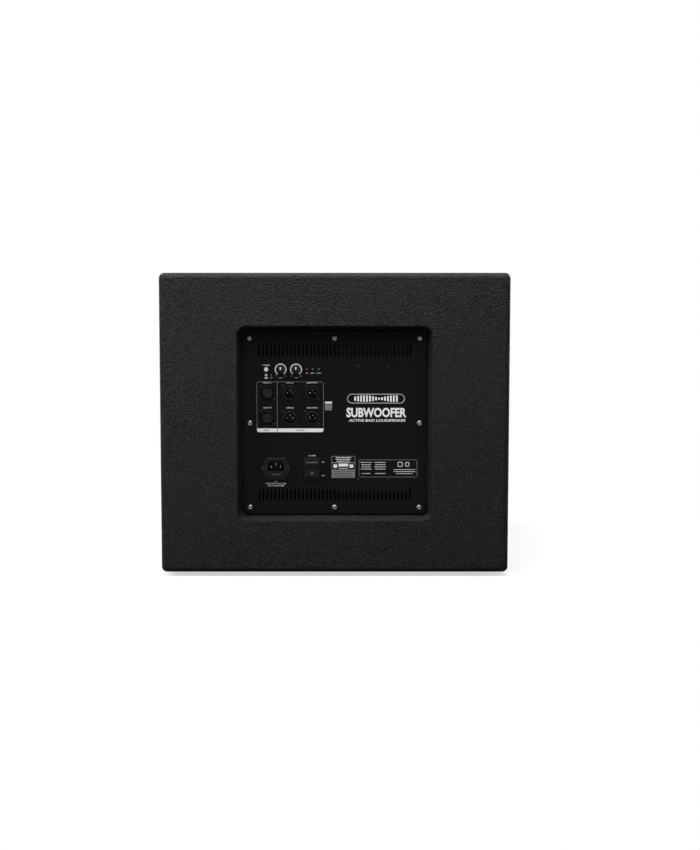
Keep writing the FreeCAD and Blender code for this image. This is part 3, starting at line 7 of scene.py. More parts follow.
import bmesh
import bpy
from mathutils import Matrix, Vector


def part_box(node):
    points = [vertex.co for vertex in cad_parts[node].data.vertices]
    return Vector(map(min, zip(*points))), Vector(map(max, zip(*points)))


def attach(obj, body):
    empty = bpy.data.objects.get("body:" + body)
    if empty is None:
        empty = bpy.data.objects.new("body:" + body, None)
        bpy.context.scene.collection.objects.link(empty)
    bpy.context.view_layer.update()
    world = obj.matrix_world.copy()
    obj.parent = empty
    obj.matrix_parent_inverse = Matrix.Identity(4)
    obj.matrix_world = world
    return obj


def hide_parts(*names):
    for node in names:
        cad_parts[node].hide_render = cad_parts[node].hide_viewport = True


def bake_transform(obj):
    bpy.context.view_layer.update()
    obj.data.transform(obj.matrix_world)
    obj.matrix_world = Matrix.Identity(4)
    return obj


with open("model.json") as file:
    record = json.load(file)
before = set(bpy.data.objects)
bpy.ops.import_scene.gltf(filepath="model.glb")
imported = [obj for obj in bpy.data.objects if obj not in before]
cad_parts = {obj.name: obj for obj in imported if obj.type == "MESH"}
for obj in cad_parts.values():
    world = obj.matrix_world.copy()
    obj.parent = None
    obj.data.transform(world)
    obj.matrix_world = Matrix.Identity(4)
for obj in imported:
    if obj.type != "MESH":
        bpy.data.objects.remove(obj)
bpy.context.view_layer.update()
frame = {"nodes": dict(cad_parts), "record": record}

MM = 0.001
scene = bpy.context.scene

# ---------------------------------------------------------------- places read from the frame

CABINET = "cabinet"


def middle(node):
    low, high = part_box(node)
    return (low + high) / 2


panel_low, panel_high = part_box("amp_panel")
panel_middle = (panel_low + panel_high) / 2
panel_front = panel_low.y
woofer_middle = middle("woofer_cone")

# ---------------------------------------------------------------- camera, light and floor

CAMERA_DISTANCE = 2.0
CAMERA_ELEVATION = radians(5.0)
CAMERA_LENS = 57.7
CAMERA_SHIFT = (0.018, -0.0011)
FLOOR_RADIUS = 4.0
# The floor glows white for the camera. Its share of painted glow grows from the least, near the cabinet, where
# it lightens the cabinet's shadow, to full, where it meets the backdrop.
FLOOR_GLOW_FROM = 0.34
FLOOR_GLOW_TO = 0.8
FLOOR_GLOW_LEAST = 0.6

# Each softbox: name, place, what it faces, width and height, radiance.
SOFTBOXES = (
    ("overhead_softbox", (0, -0.45, 1.5), (0, -0.3, 0), (1.6, 1.2), 7.6),
    ("left_softbox", (-2.4, -0.8, 1.5), (0, -0.3, 0.25), (0.9, 1.1), 17.0),
    ("right_softbox", (1.4, -1.3, 1.9), (0, -0.3, 0.25), (0.9, 0.9), 3.0),
    ("low_strip", (0, -2.2, 0.12), (0, -0.3, 0.4), (2.4, 0.2), 1.25),
    ("front_left_softbox", (-2.2, 2.6, 1.7), (0, 0.3, 0.25), (1.2, 1.4), 16.0),
    ("front_right_softbox", (2.2, 2.2, 1.3), (0, 0.3, 0.25), (1.2, 1.4), 11.0),
)


def make_camera():
    """The camera behind the cabinet, a little above its middle, facing the amplifier."""
    back_low, back_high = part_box("cabinet_back_board")
    target = Vector((0, back_low.y, (back_low.z + back_high.z) / 2))
    away = Vector((0, -cos(CAMERA_ELEVATION), sin(CAMERA_ELEVATION)))
    lens = bpy.data.cameras.new("camera")
    lens.lens = CAMERA_LENS
    lens.shift_x, lens.shift_y = CAMERA_SHIFT
    camera = bpy.data.objects.new("camera", lens)
    camera.location = target + away * CAMERA_DISTANCE
    camera.rotation_euler = away.to_track_quat("Z", "Y").to_euler()
    scene.collection.objects.link(camera)
    scene.camera = camera


def soft_light(name, place, target, size, radiance):
    """A rectangular softbox that faces a target."""
    lamp = bpy.data.lights.new(name, "AREA")
    lamp.shape = "RECTANGLE"
    lamp.size, lamp.size_y = size
    lamp.energy = radiance * pi * size[0] * size[1]
    holder = bpy.data.objects.new(name, lamp)
    holder.location = place
    holder.rotation_euler = (Vector(place) - Vector(target)).to_track_quat("Z", "Y").to_euler()
    scene.collection.objects.link(holder)


def make_world(seen, felt):
    """A white backdrop for the camera that lights the object less than it shows."""
    world = bpy.data.worlds.new("studio")
    world.use_nodes = True
    tree = world.node_tree
    tree.nodes.clear()
    path = tree.nodes.new("ShaderNodeLightPath")
    strength = add(tree, "ShaderNodeMix", {"A": felt, "B": seen, "Factor": path.outputs["Is Camera Ray"]})
    glow = add(tree, "ShaderNodeBackground", {"Color": grey(1.0), "Strength": strength.outputs["Result"]})
    add(tree, "ShaderNodeOutputWorld", {"Surface": glow.outputs["Background"]})
    scene.world = world


def make_floor(shade, bounce):
    """A wide pale floor with a soft shadow that is lightened by painted glow: the floor glows white for the
    camera, least near the cabinet and fully further out, where it fades into the backdrop. It throws little
    light back.
    """
    work = bmesh.new()
    turns = [2 * pi * i / 96 for i in range(96)]
    work.faces.new([work.verts.new((FLOOR_RADIUS * cos(a), FLOOR_RADIUS * sin(a), 0)) for a in turns])
    floor = bpy.data.objects.new("floor", mesh_of("floor", work))
    scene.collection.objects.link(floor)
    pale = bpy.data.materials.new("pale floor")
    pale.use_nodes = True
    tree = pale.node_tree
    tree.nodes.clear()
    seen = tree.nodes.new("ShaderNodeLightPath").outputs["Is Camera Ray"]
    place = tree.nodes.new("ShaderNodeTexCoord").outputs["Object"]
    faint = noise(tree, place, 1.5, 3.0)
    near = add(tree, "ShaderNodeMixRGB", {"Fac": faint, "Color1": grey(shade), "Color2": grey(0.97 * shade)})
    colour = add(
        tree, "ShaderNodeMixRGB", {"Fac": seen, "Color1": grey(bounce), "Color2": near.outputs["Color"]}
    )
    away = add(tree, "ShaderNodeVectorMath", {"Vector": place}, operation="LENGTH").outputs["Value"]
    # The share of painted glow the camera sees: least near the cabinet, where it lightens the shadow, and full
    # further out.
    glow_share = add(
        tree,
        "ShaderNodeMapRange",
        {"Value": away, "From Min": FLOOR_GLOW_FROM, "From Max": FLOOR_GLOW_TO, "To Min": FLOOR_GLOW_LEAST},
    )
    paint = add(tree, "ShaderNodeBsdfDiffuse", {"Color": colour.outputs["Color"]})
    glow = add(tree, "ShaderNodeEmission", {"Color": grey(1.0), "Strength": seen})
    blend = math(tree, "MULTIPLY", glow_share.outputs["Result"], seen)
    mixed = add(tree, "ShaderNodeMixShader", {0: blend, 1: paint.outputs["BSDF"], 2: glow.outputs["Emission"]})
    add(tree, "ShaderNodeOutputMaterial", {"Surface": mixed.outputs["Shader"]})
    floor.data.materials.append(pale)


# ---------------------------------------------------------------- shader helpers


def add(tree, kind, values=None, **settings):
    """A new node. Each of the values is either linked or set, by its input's name."""
    made = tree.nodes.new(kind)
    for name, value in settings.items():
        setattr(made, name, value)
    for name, value in (values or {}).items():
        if isinstance(value, bpy.types.NodeSocket):
            tree.links.new(value, made.inputs[name])
        else:
            made.inputs[name].default_value = value
    return made


def math(tree, operation, first, second=0.0, clamp=False):
    made = tree.nodes.new("ShaderNodeMath")
    made.operation = operation
    made.use_clamp = clamp
    for i, value in enumerate((first, second)):
        if isinstance(value, bpy.types.NodeSocket):
            tree.links.new(value, made.inputs[i])
        else:
            made.inputs[i].default_value = value
    return made.outputs[0]


def new_group(name, inputs, outputs):
    """A shader node group with named sockets: inputs are {name: default}, outputs are names."""
    group = bpy.data.node_groups.new(name, "ShaderNodeTree")
    group.interface.new_socket("Position", in_out="INPUT", socket_type="NodeSocketVector")
    for label, value in inputs.items():
        socket = group.interface.new_socket(label, in_out="INPUT", socket_type="NodeSocketFloat")
        socket.default_value = value
    for label in outputs:
        group.interface.new_socket(label, in_out="OUTPUT", socket_type="NodeSocketFloat")
    return group, group.nodes.new("NodeGroupInput"), group.nodes.new("NodeGroupOutput")


def scaled(tree, position, size):
    """The position counted in grains of that size."""
    per_metre = math(tree, "DIVIDE", 1.0, size)
    grains = add(tree, "ShaderNodeVectorMath", {"Vector": position, "Scale": per_metre}, operation="SCALE")
    return grains.outputs["Vector"]


def noise(tree, vector, scale, detail=2.0, roughness=0.5):
    values = {"Vector": vector, "Scale": scale, "Detail": detail, "Roughness": roughness}
    return add(tree, "ShaderNodeTexNoise", values).outputs["Fac"]


def structured_paint_group():
    """The warty surface of sprayed cabinet paint: close round blobs of unequal height with grit on them."""
    group, given, out = new_group("structured paint", {"Size": 0.0024}, ["Height", "Peaks", "Shade"])
    grains = scaled(group, given.outputs["Position"], given.outputs["Size"])
    blobs = add(
        group, "ShaderNodeTexVoronoi", {"Vector": grains, "Scale": 1.0, "Smoothness": 0.3}, feature="SMOOTH_F1"
    )
    wart = math(group, "SUBTRACT", 1.0, blobs.outputs["Distance"], clamp=True)
    grit = noise(group, grains, 1.7, 3.0, 0.55)
    height = math(group, "ADD", math(group, "MULTIPLY", wart, 0.5), math(group, "MULTIPLY", grit, 0.8))
    group.links.new(height, out.inputs["Height"])
    # Peaks marks the wart tops; the cabinet paint gives them a lighter colour as a painted highlight.
    peaks = math(group, "MULTIPLY", math(group, "SUBTRACT", height, 0.66), 5.0, clamp=True)
    group.links.new(peaks, out.inputs["Peaks"])
    group.links.new(noise(group, grains, 0.02, 3.0), out.inputs["Shade"])
    return group


def fine_grain_group():
    """Moulded, cast or powder-coated skin: a fine height, and a slow change of shade."""
    group, given, out = new_group("fine grain", {"Size": 0.0005}, ["Height", "Peaks", "Shade"])
    grains = scaled(group, given.outputs["Position"], given.outputs["Size"])
    fine = noise(group, grains, 1.0, 4.0, 0.6)
    group.links.new(fine, out.inputs["Height"])
    group.links.new(math(group, "MULTIPLY", math(group, "SUBTRACT", fine, 0.5), 4.0, True), out.inputs["Peaks"])
    group.links.new(noise(group, grains, 0.04, 3.0), out.inputs["Shade"])
    return group


def brushed_group():
    """Drawn or turned metal: long fine scratches."""
    group, given, out = new_group("brushed", {"Size": 0.0003}, ["Height", "Peaks", "Shade"])
    grains = scaled(group, given.outputs["Position"], given.outputs["Size"])
    stretched = add(
        group, "ShaderNodeVectorMath", {0: grains, 1: (0.06, 0.06, 1.0)}, operation="MULTIPLY"
    )
    lines = noise(group, stretched.outputs["Vector"], 1.0, 3.0, 0.7)
    group.links.new(lines, out.inputs["Height"])
    group.links.new(math(group, "MULTIPLY", lines, lines), out.inputs["Peaks"])
    group.links.new(noise(group, grains, 0.05, 2.0), out.inputs["Shade"])
    return group


def cells_group():
    """Open-cell foam: pores between thin walls. Height and Peaks mark the walls, so that a finish can paint the
    pores darker than the walls as painted shade.
    """
    group, given, out = new_group("foam cells", {"Size": 0.0014}, ["Height", "Peaks", "Shade"])
    grains = scaled(group, given.outputs["Position"], given.outputs["Size"])
    cells = add(
        group, "ShaderNodeTexVoronoi", {"Vector": grains, "Scale": 1.0}, feature="DISTANCE_TO_EDGE"
    )
    walls = math(group, "SUBTRACT", 1.0, math(group, "MULTIPLY", cells.outputs["Distance"], 4.0, True))
    group.links.new(walls, out.inputs["Height"])
    group.links.new(walls, out.inputs["Peaks"])
    group.links.new(noise(group, grains, 0.08, 2.0), out.inputs["Shade"])
    return group


def weave_group():
    """Plain woven cloth."""
    group, given, out = new_group("weave", {"Size": 0.0008}, ["Height", "Peaks", "Shade"])
    grains = scaled(group, given.outputs["Position"], given.outputs["Size"])
    threads = []
    for direction in ("X", "Z"):
        wave = add(
            group, "ShaderNodeTexWave", {"Vector": grains, "Scale": 0.3, "Distortion": 0.6},
            bands_direction=direction,
        )
        threads.append(wave.outputs["Fac"])
    cloth = math(group, "MAXIMUM", *threads)
    group.links.new(cloth, out.inputs["Height"])
    group.links.new(math(group, "MULTIPLY", *threads), out.inputs["Peaks"])
    group.links.new(noise(group, grains, 0.05, 3.0), out.inputs["Shade"])
    return group


def wood_group():
    """Plywood: long grain with darker lines."""
    group, given, out = new_group("wood grain", {"Size": 0.004}, ["Height", "Peaks", "Shade"])
    grains = scaled(group, given.outputs["Position"], given.outputs["Size"])
    along = add(
        group, "ShaderNodeVectorMath", {0: grains, 1: (0.06, 1.0, 1.0)}, operation="MULTIPLY"
    )
    lines = noise(group, along.outputs["Vector"], 1.0, 5.0, 0.65)
    group.links.new(lines, out.inputs["Height"])
    group.links.new(math(group, "MULTIPLY", lines, lines), out.inputs["Peaks"])
    group.links.new(noise(group, along.outputs["Vector"], 0.3, 3.0), out.inputs["Shade"])
    return group


def edge_wear_group():
    """Where the surface turns sharply, broken up by noise."""
    group, given, out = new_group("edge wear", {"Reach": 0.002, "Grain": 0.004, "Amount": 0.3}, ["Mask"])
    softened = add(group, "ShaderNodeBevel", {"Radius": given.outputs["Reach"]}, samples=4)
    straight = group.nodes.new("ShaderNodeNewGeometry")
    facing = add(
        group,
        "ShaderNodeVectorMath",
        {0: softened.outputs["Normal"], 1: straight.outputs["Normal"]},
        operation="DOT_PRODUCT",
    )
    turn = math(group, "MULTIPLY", math(group, "SUBTRACT", 1.0, facing.outputs["Value"]), 5.0, True)
    grains = scaled(group, given.outputs["Position"], given.outputs["Grain"])
    patches = noise(group, grains, 1.0, 4.0, 0.6)
    broken = math(group, "MULTIPLY", math(group, "SUBTRACT", patches, 0.42), 5.0, True)
    mask = math(group, "MULTIPLY", math(group, "MULTIPLY", turn, broken), given.outputs["Amount"])
    group.links.new(mask, out.inputs["Mask"])
    return group


def dust_group():
    """Fine dust that has settled on what faces up."""
    group, given, out = new_group("settled dust", {"Grain": 0.02, "Amount": 0.1}, ["Mask"])
    surface = group.nodes.new("ShaderNodeNewGeometry")
    parts = add(group, "ShaderNodeSeparateXYZ", {"Vector": surface.outputs["Normal"]})
    up = math(group, "MULTIPLY", math(group, "SUBTRACT", parts.outputs["Z"], 0.5), 2.0, True)
    grains = scaled(group, given.outputs["Position"], given.outputs["Grain"])
    patches = noise(group, grains, 1.0, 6.0, 0.7)
    mask = math(group, "MULTIPLY", math(group, "MULTIPLY", up, patches), given.outputs["Amount"])
    group.links.new(mask, out.inputs["Mask"])
    return group


PATTERNS = {
    "structured": structured_paint_group(),
    "fine": fine_grain_group(),
    "brushed": brushed_group(),
    "cells": cells_group(),
    "weave": weave_group(),
    "wood": wood_group(),
}
EDGE_WEAR = edge_wear_group()
SETTLED_DUST = dust_group()


def grey(level):
    return (level, level, level, 1.0)


DUST = (0.2, 0.198, 0.19, 1.0)


def finish(
    name,
    base,
    tint,
    rough=(0.4, 0.6),
    pattern="fine",
    grain=0.0005,
    relief=0.00005,
    peaks=None,
    metallic=0.0,
    specular=0.5,
    coat=0.0,
    wear=0.0,
    worn=grey(0.12),
    dust=0.0,
):
    """A material: two shades mixed by its pattern, with relief, wear on the edges and dust on top."""
    material = bpy.data.materials.new(name)
    material.use_nodes = True
    tree = material.node_tree
    tree.nodes.clear()
    place = tree.nodes.new("ShaderNodeTexCoord").outputs["Object"]
    skin = add(tree, "ShaderNodeGroup", node_tree=PATTERNS[pattern])
    tree.links.new(place, skin.inputs["Position"])
    skin.inputs["Size"].default_value = grain
    colour = add(
        tree, "ShaderNodeMixRGB", {"Fac": skin.outputs["Shade"], "Color1": base, "Color2": tint}
    ).outputs["Color"]
    # The peaks colour goes on the pattern's high points: in the cabinet paint it is a painted highlight on the
    # wart tops, in the black foam it lights the cell walls so that the pores read as painted shade, and in the
    # plywood it is the darker grain.
    if peaks:
        colour = add(
            tree, "ShaderNodeMixRGB", {"Fac": skin.outputs["Peaks"], "Color1": colour, "Color2": peaks}
        ).outputs["Color"]
    if wear:
        mask = add(tree, "ShaderNodeGroup", node_tree=EDGE_WEAR)
        tree.links.new(place, mask.inputs["Position"])
        mask.inputs["Amount"].default_value = wear
        colour = add(
            tree, "ShaderNodeMixRGB", {"Fac": mask.outputs["Mask"], "Color1": colour, "Color2": worn}
        ).outputs["Color"]
    if dust:
        mask = add(tree, "ShaderNodeGroup", node_tree=SETTLED_DUST)
        tree.links.new(place, mask.inputs["Position"])
        mask.inputs["Amount"].default_value = dust
        colour = add(
            tree, "ShaderNodeMixRGB", {"Fac": mask.outputs["Mask"], "Color1": colour, "Color2": DUST}
        ).outputs["Color"]
    roughness = add(
        tree,
        "ShaderNodeMapRange",
        {
            "Value": skin.outputs["Shade"],
            "From Min": 0.3,
            "From Max": 0.7,
            "To Min": rough[0],
            "To Max": rough[1],
        },
    ).outputs["Result"]
    bump = add(tree, "ShaderNodeBump", {"Height": skin.outputs["Height"], "Distance": relief, "Strength": 1.0})
    shader = add(
        tree,
        "ShaderNodeBsdfPrincipled",
        {
            "Base Color": colour,
            "Roughness": roughness,
            "Normal": bump.outputs["Normal"],
            "Metallic": metallic,
            "Specular IOR Level": specular,
            "Coat Weight": coat,
            "Coat Roughness": 0.15,
        },
    )
    add(tree, "ShaderNodeOutputMaterial", {"Surface": shader.outputs["BSDF"]})
    return material


# ---------------------------------------------------------------- finishes

# Its lighter peaks colour is a painted highlight on the tops of the paint's warts.
cabinet_paint = finish(
    "cabinet paint", grey(0.0036), grey(0.0054), (0.36, 0.46), "structured", 0.0024, 0.0022,
    peaks=grey(0.026), specular=0.2, wear=0.3, worn=grey(0.05), dust=0.05,
)
panel_paint = finish(
    "panel paint", grey(0.0035), grey(0.005), (0.42, 0.52), grain=0.0004, relief=0.00003, specular=0.15,
    wear=0.05, worn=grey(0.06),
)
baffle_paint = finish("baffle paint", grey(0.008), grey(0.014), (0.6, 0.8), grain=0.001, relief=0.0002)
raw_ply = finish(
    "bare plywood", (0.42, 0.28, 0.15, 1), (0.52, 0.37, 0.21, 1), (0.6, 0.8), "wood", 0.004, 0.0002,
    peaks=(0.24, 0.14, 0.07, 1),
)
black_plastic = finish(
    "black moulded plastic", grey(0.006), grey(0.009), (0.35, 0.48), grain=0.0004, relief=0.00004,
    specular=0.28, wear=0.05, dust=0.04,
)
socket_plastic = finish(
    "grey connector plastic", grey(0.009), grey(0.012), (0.4, 0.55), grain=0.0004, specular=0.35
)
white_plastic = finish("white button plastic", grey(0.72), grey(0.78), (0.3, 0.4), relief=0.00002)
grille_coat = finish(
    "grille powder coat", grey(0.010), grey(0.016), (0.4, 0.55), grain=0.0007, relief=0.00006, wear=0.25,
    dust=0.08,
)
# Its lighter peaks colour on the cell walls leaves the pores darker: painted shade in the pores.
foam_finish = finish(
    "black foam", grey(0.004), grey(0.008), (0.85, 0.95), "cells", 0.0014, 0.0006, peaks=grey(0.02),
    specular=0.1,
)
seal_foam = finish("sealing foam", grey(0.012), grey(0.02), (0.8, 0.95), "cells", 0.0007, 0.0002)
rubber = finish("rubber", grey(0.012), grey(0.02), (0.65, 0.85), grain=0.0008, relief=0.00008, dust=0.15)
black_steel = finish(
    "black coated steel", grey(0.009), grey(0.014), (0.42, 0.55), grain=0.0006, relief=0.00005, specular=0.25,
    wear=0.25, worn=grey(0.1), dust=0.06,
)
blackened = finish(
    "blackened screw steel", grey(0.012), grey(0.02), (0.34, 0.48), grain=0.0003, relief=0.00002,
    metallic=0.6, wear=0.3, worn=grey(0.12),
)
nickel = finish(
    "nickel-plated steel", (0.32, 0.31, 0.3, 1), (0.42, 0.41, 0.4, 1), (0.2, 0.3), "brushed", 0.0003,
    0.00002, metallic=1.0,
)
contact_plate = finish(
    "plated contacts", (0.45, 0.44, 0.4, 1), (0.55, 0.54, 0.5, 1), (0.2, 0.3), relief=0.00001, metallic=1.0
)
zinc = finish(
    "zinc-plated sheet", (0.45, 0.46, 0.47, 1), (0.58, 0.59, 0.6, 1), (0.3, 0.5), grain=0.004,
    relief=0.00003, metallic=1.0,
)
black_alloy = finish(
    "black anodised alloy", grey(0.02), grey(0.03), (0.35, 0.5), "brushed", 0.0004, 0.00004, metallic=0.6
)
cast_alloy = finish(
    "coated casting", grey(0.025), grey(0.04), (0.45, 0.6), grain=0.0012, relief=0.0001, metallic=0.3
)
ferrite = finish("ferrite", grey(0.03), grey(0.045), (0.55, 0.7), grain=0.001, relief=0.0001)
copper = finish("copper winding", (0.5, 0.2, 0.08, 1), (0.62, 0.27, 0.1, 1), (0.3, 0.4), "brushed", 0.0004,
                0.0001, metallic=0.9)
cone_paper = finish("cone paper", grey(0.02), grey(0.035), (0.75, 0.9), grain=0.0015, relief=0.0002)
spider_cloth = finish(
    "spider cloth", (0.42, 0.26, 0.09, 1), (0.5, 0.33, 0.13, 1), (0.7, 0.85), "weave", 0.0006, 0.0002
)
surround_rubber = finish("surround rubber", grey(0.015), grey(0.025), (0.5, 0.65), grain=0.001, relief=0.00005)
circuit_board = finish(
    "circuit board", (0.006, 0.03, 0.011, 1), (0.009, 0.042, 0.015, 1), (0.35, 0.5), grain=0.002,
    relief=0.00003, coat=0.3,
)
winding_film = finish(
    "transformer film", (0.05, 0.04, 0.02, 1), (0.07, 0.055, 0.03, 1), (0.25, 0.4), "brushed", 0.0012, 0.0002,
    coat=0.5,
)
lead_jacket = finish("lead insulation", (0.3, 0.01, 0.01, 1), (0.4, 0.02, 0.015, 1), (0.4, 0.5))
print_white = finish("white print", grey(0.93), grey(0.97), (0.5, 0.65), grain=0.0003, relief=0.00001)
print_grey = finish("grey print", grey(0.24), grey(0.28), (0.5, 0.65), grain=0.0003, relief=0.00001)
print_black = finish("black print", grey(0.01), grey(0.014), (0.5, 0.65), grain=0.0003, relief=0.00001)
lens_red = finish("red lamp lens", (0.11, 0.025, 0.015, 1), (0.14, 0.035, 0.02, 1), (0.15, 0.25), coat=1.0)
lens_green = finish("green lamp lens", (0.06, 0.1, 0.07, 1), (0.08, 0.13, 0.09, 1), (0.15, 0.25), coat=1.0)
lens_blue = finish("blue lamp lens", (0.02, 0.07, 0.14, 1), (0.03, 0.1, 0.19, 1), (0.15, 0.25), coat=1.0)

FINISH_OF_SLOT = {
    "cabinet_paint": cabinet_paint,
    "baffle_paint": baffle_paint,
    "raw_board": raw_ply,
    "grille_paint": grille_coat,
    "foam": foam_finish,
    "foam_seal": seal_foam,
    "black_plastic": black_plastic,
    "black_screws": blackened,
    "black_steel": black_steel,
    "rubber": rubber,
    "basket_metal": cast_alloy,
    "spider_cloth": spider_cloth,
    "cone_paper": cone_paper,
    "copper": copper,
    "motor_steel": zinc,
    "ferrite": ferrite,
    "lead_insulation": lead_jacket,
    "panel_paint": panel_paint,
    "nickel_screws": nickel,
    "enclosure_steel": black_steel,
    "heatsink_alloy": black_alloy,
    "circuit_board": circuit_board,
    "transformer_winding": winding_film,
    "white_plastic": white_plastic,
    "red_lens": lens_red,
    "green_lens": lens_green,
    "blue_lens": lens_blue,
    "silver_contacts": contact_plate,
}


def dress_frame():
    """Every CAD node takes the finish of its slot."""
    for part in frame["record"]["subparts"]:
        slots = frame["nodes"][part["node"]].material_slots
        for held in slots:
            held.material = FINISH_OF_SLOT[part["material_slot"]]


# ---------------------------------------------------------------- mesh helpers


def piece(name, mesh, finish_used, body):
    """A new object that shows a mesh and rides on a body."""
    shown = bpy.data.objects.new(name, mesh)
    scene.collection.objects.link(shown)
    mesh.materials.clear()
    mesh.materials.append(finish_used)
    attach(shown, body)
    return shown


def mesh_of(name, work):
    mesh = bpy.data.meshes.new(name)
    work.to_mesh(mesh)
    work.free()
    return mesh


def smooth(mesh):
    for face in mesh.polygons:
        face.use_smooth = True
    return mesh


def rounded_outline(x, z, width, height, corner, steps=6):
    """Points round a rounded rectangle, counter-clockwise as seen from -Y."""
    corners = [(1, 1, 0), (-1, 1, 90), (-1, -1, 180), (1, -1, 270)]
    points = []
    for sx, sz, start in corners:
        cx = x + sx * (width / 2 - corner)
        cz = z + sz * (height / 2 - corner)
        for i in range(steps + 1):
            a = radians(start + 90 * i / steps)
            points.append((cx + corner * cos(a), cz + corner * sin(a)))
    return points


def arc_points(x, z, radius, start, stop, steps):
    """Points on a circle. Angles are in degrees, from straight up, clockwise as seen from -Y."""
    turns = [radians(start + (stop - start) * i / steps) for i in range(steps + 1)]
    return [(x + radius * sin(a), z + radius * cos(a)) for a in turns]


# ---------------------------------------------------------------- printing on the panel

PRINT_LIFT = 0.03 * MM
PRINT_THICKNESS = 0.05 * MM
ROCKER_MARK_LIFT = 0.42 * MM


class Print:
    """One colour of printing: flat shapes that lie on the panel and are given a hair of thickness."""

    def __init__(self, name, finish_used, layer):
        self.name = name
        self.finish = finish_used
        self.y = panel_front - PRINT_LIFT - layer * 1.6 * PRINT_THICKNESS
        self.work = bmesh.new()

    def patch(self, points):
        corners = [self.work.verts.new((x, self.y, z)) for x, z in points]
        self.work.faces.new(corners)

    def bar(self, x, z, width, height):
        half_w, half_h = width / 2, height / 2
        corners = ((-half_w, -half_h), (half_w, -half_h), (half_w, half_h), (-half_w, half_h))
        self.patch([(x + dx, z + dz) for dx, dz in corners])

    def stroke(self, points, width, closed=False):
        """A ribbon of even width along a line, mitred at its corners."""
        count = len(points)
        flat = [Vector(p) for p in points]
        left, right = [], []
        for i, here in enumerate(flat):
            before = flat[i - 1] if i or closed else here
            after = flat[(i + 1) % count] if i + 1 < count or closed else here
            ways = [w.normalized() for w in (here - before, after - here) if w.length > 0]
            along = sum(ways, Vector((0, 0))).normalized()
            across = Vector((-along.y, along.x))
            stretch = 1 / max(0.5, abs(along.dot(ways[0])))
            reach = across * (width / 2 * stretch)
            left.append(self.work.verts.new((here.x + reach.x, self.y, here.y + reach.y)))
            right.append(self.work.verts.new((here.x - reach.x, self.y, here.y - reach.y)))
        for i in range(count if closed else count - 1):
            j = (i + 1) % count
            self.work.faces.new((left[i], left[j], right[j], right[i]))

    def words(self, text, x, z, height, width=None, lean=0.0, bold=0.0):
        """Text with its middle at x and z, its capitals that high, and squeezed to a width if one is given."""
        curve = bpy.data.curves.new("words", "FONT")
        curve.body = text
        curve.offset = bold
        curve.shear = lean
        curve.resolution_u = 3
        carrier = bpy.data.objects.new("words", curve)
        flat = bpy.data.meshes.new_from_object(carrier)
        xs = [v.co.x for v in flat.vertices]
        ys = [v.co.y for v in flat.vertices]
        tall = height / (max(ys) - min(ys))
        wide = width / (max(xs) - min(xs)) if width else tall
        mid_x, mid_y = (max(xs) + min(xs)) / 2, (max(ys) + min(ys)) / 2
        corners = [
            self.work.verts.new((x + (v.co.x - mid_x) * wide, self.y, z + (v.co.y - mid_y) * tall))
            for v in flat.vertices
        ]
        for face in flat.polygons:
            self.work.faces.new([corners[i] for i in face.vertices])
        bpy.data.objects.remove(carrier)
        bpy.data.meshes.remove(flat)
        bpy.data.curves.remove(curve)

    def small_print(self, x, z, width, height, luck):
        """A line of print too small to read: a row of short bars, like words."""
        start = x - width / 2
        end = x + width / 2
        while start < end - height:
            length = min(luck.uniform(1.5, 5.0) * height, end - start)
            self.bar(start + length / 2, z, length, height)
            start += length + 0.8 * height

    def finished(self, body=CABINET):
        for face in self.work.faces:
            face.normal_update()
            if face.normal.y > 0:
                face.normal_flip()
        bmesh.ops.remove_doubles(self.work, verts=self.work.verts[:], dist=1e-7)
        shown = piece(self.name, mesh_of(self.name, self.work), self.finish, body)
        thicken = shown.modifiers.new("thickness", "SOLIDIFY")
        thicken.thickness = PRINT_THICKNESS
        thicken.offset = 1.0
        return shown


LINE = 0.5 * MM
SMALL_CAPS = 1.9 * MM
DIAL_RADIUS = 8.0 * MM
DIAL_STROKE = 1.25 * MM
DIAL_END = 149
SOCKET_FLANGE = 26.0 * MM


def print_dials(white):
    """A thick ring open at the bottom round each knob, with end marks and a name."""
    for knob, name, low, high in (
        ("level_knob", "LEVEL", "0", "10"),
        ("crossover_knob", "FREQ", "40", "160"),
    ):
        at = middle(knob)
        white.stroke(arc_points(at.x, at.z, DIAL_RADIUS, -DIAL_END, DIAL_END, 48), DIAL_STROKE)
        white.words(low, at.x - 7.0 * MM, at.z - 9.6 * MM, 1.3 * MM)
        white.words(high, at.x + 7.0 * MM, at.z - 9.6 * MM, 1.3 * MM)
        white.words(name, at.x, at.z - 12.2 * MM, 1.6 * MM)


def print_button(white):
    """The phase button's name, and the two marks for out and in."""
    at = middle("phase_button")
    white.words("PHASE", at.x, at.z + 6.4 * MM, SMALL_CAPS, 10.6 * MM)
    for drop, degrees, filled in ((8.0, "0", False), (12.0, "180", True)):
        z = at.z - drop * MM
        white.bar(at.x, z - 0.9 * MM, 5.0 * MM, 0.9 * MM)
        white.bar(at.x, z + (0.2 if filled else 0.9) * MM, 2.4 * MM, 1.8 * MM)
        white.words(degrees, at.x + 7.5 * MM, z, 1.6 * MM)


def print_lamps(white):
    for lamp, name in (("clip_led", "CLIP"), ("signal_led", "SIGNAL"), ("power_led", "POWER")):
        at = middle(lamp)
        white.words(name, at.x, at.z - 5.4 * MM, 1.4 * MM, 6.6 * MM if len(name) > 4 else None)


def socket_grid():
    """The middles of the connectors: {"in": [...], "out": [...]}, each from the top row down."""
    grid = {}
    for key, node in (("in", "xlr_inputs"), ("out", "xlr_outputs")):
        low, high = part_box(node)
        half = SOCKET_FLANGE / 2
        columns = [(low.x + high.x) / 2] if key == "in" else [low.x + half, high.x - half]
        grid[key] = [(x, z) for z in (high.z - half, low.z + half) for x in columns]
    return grid


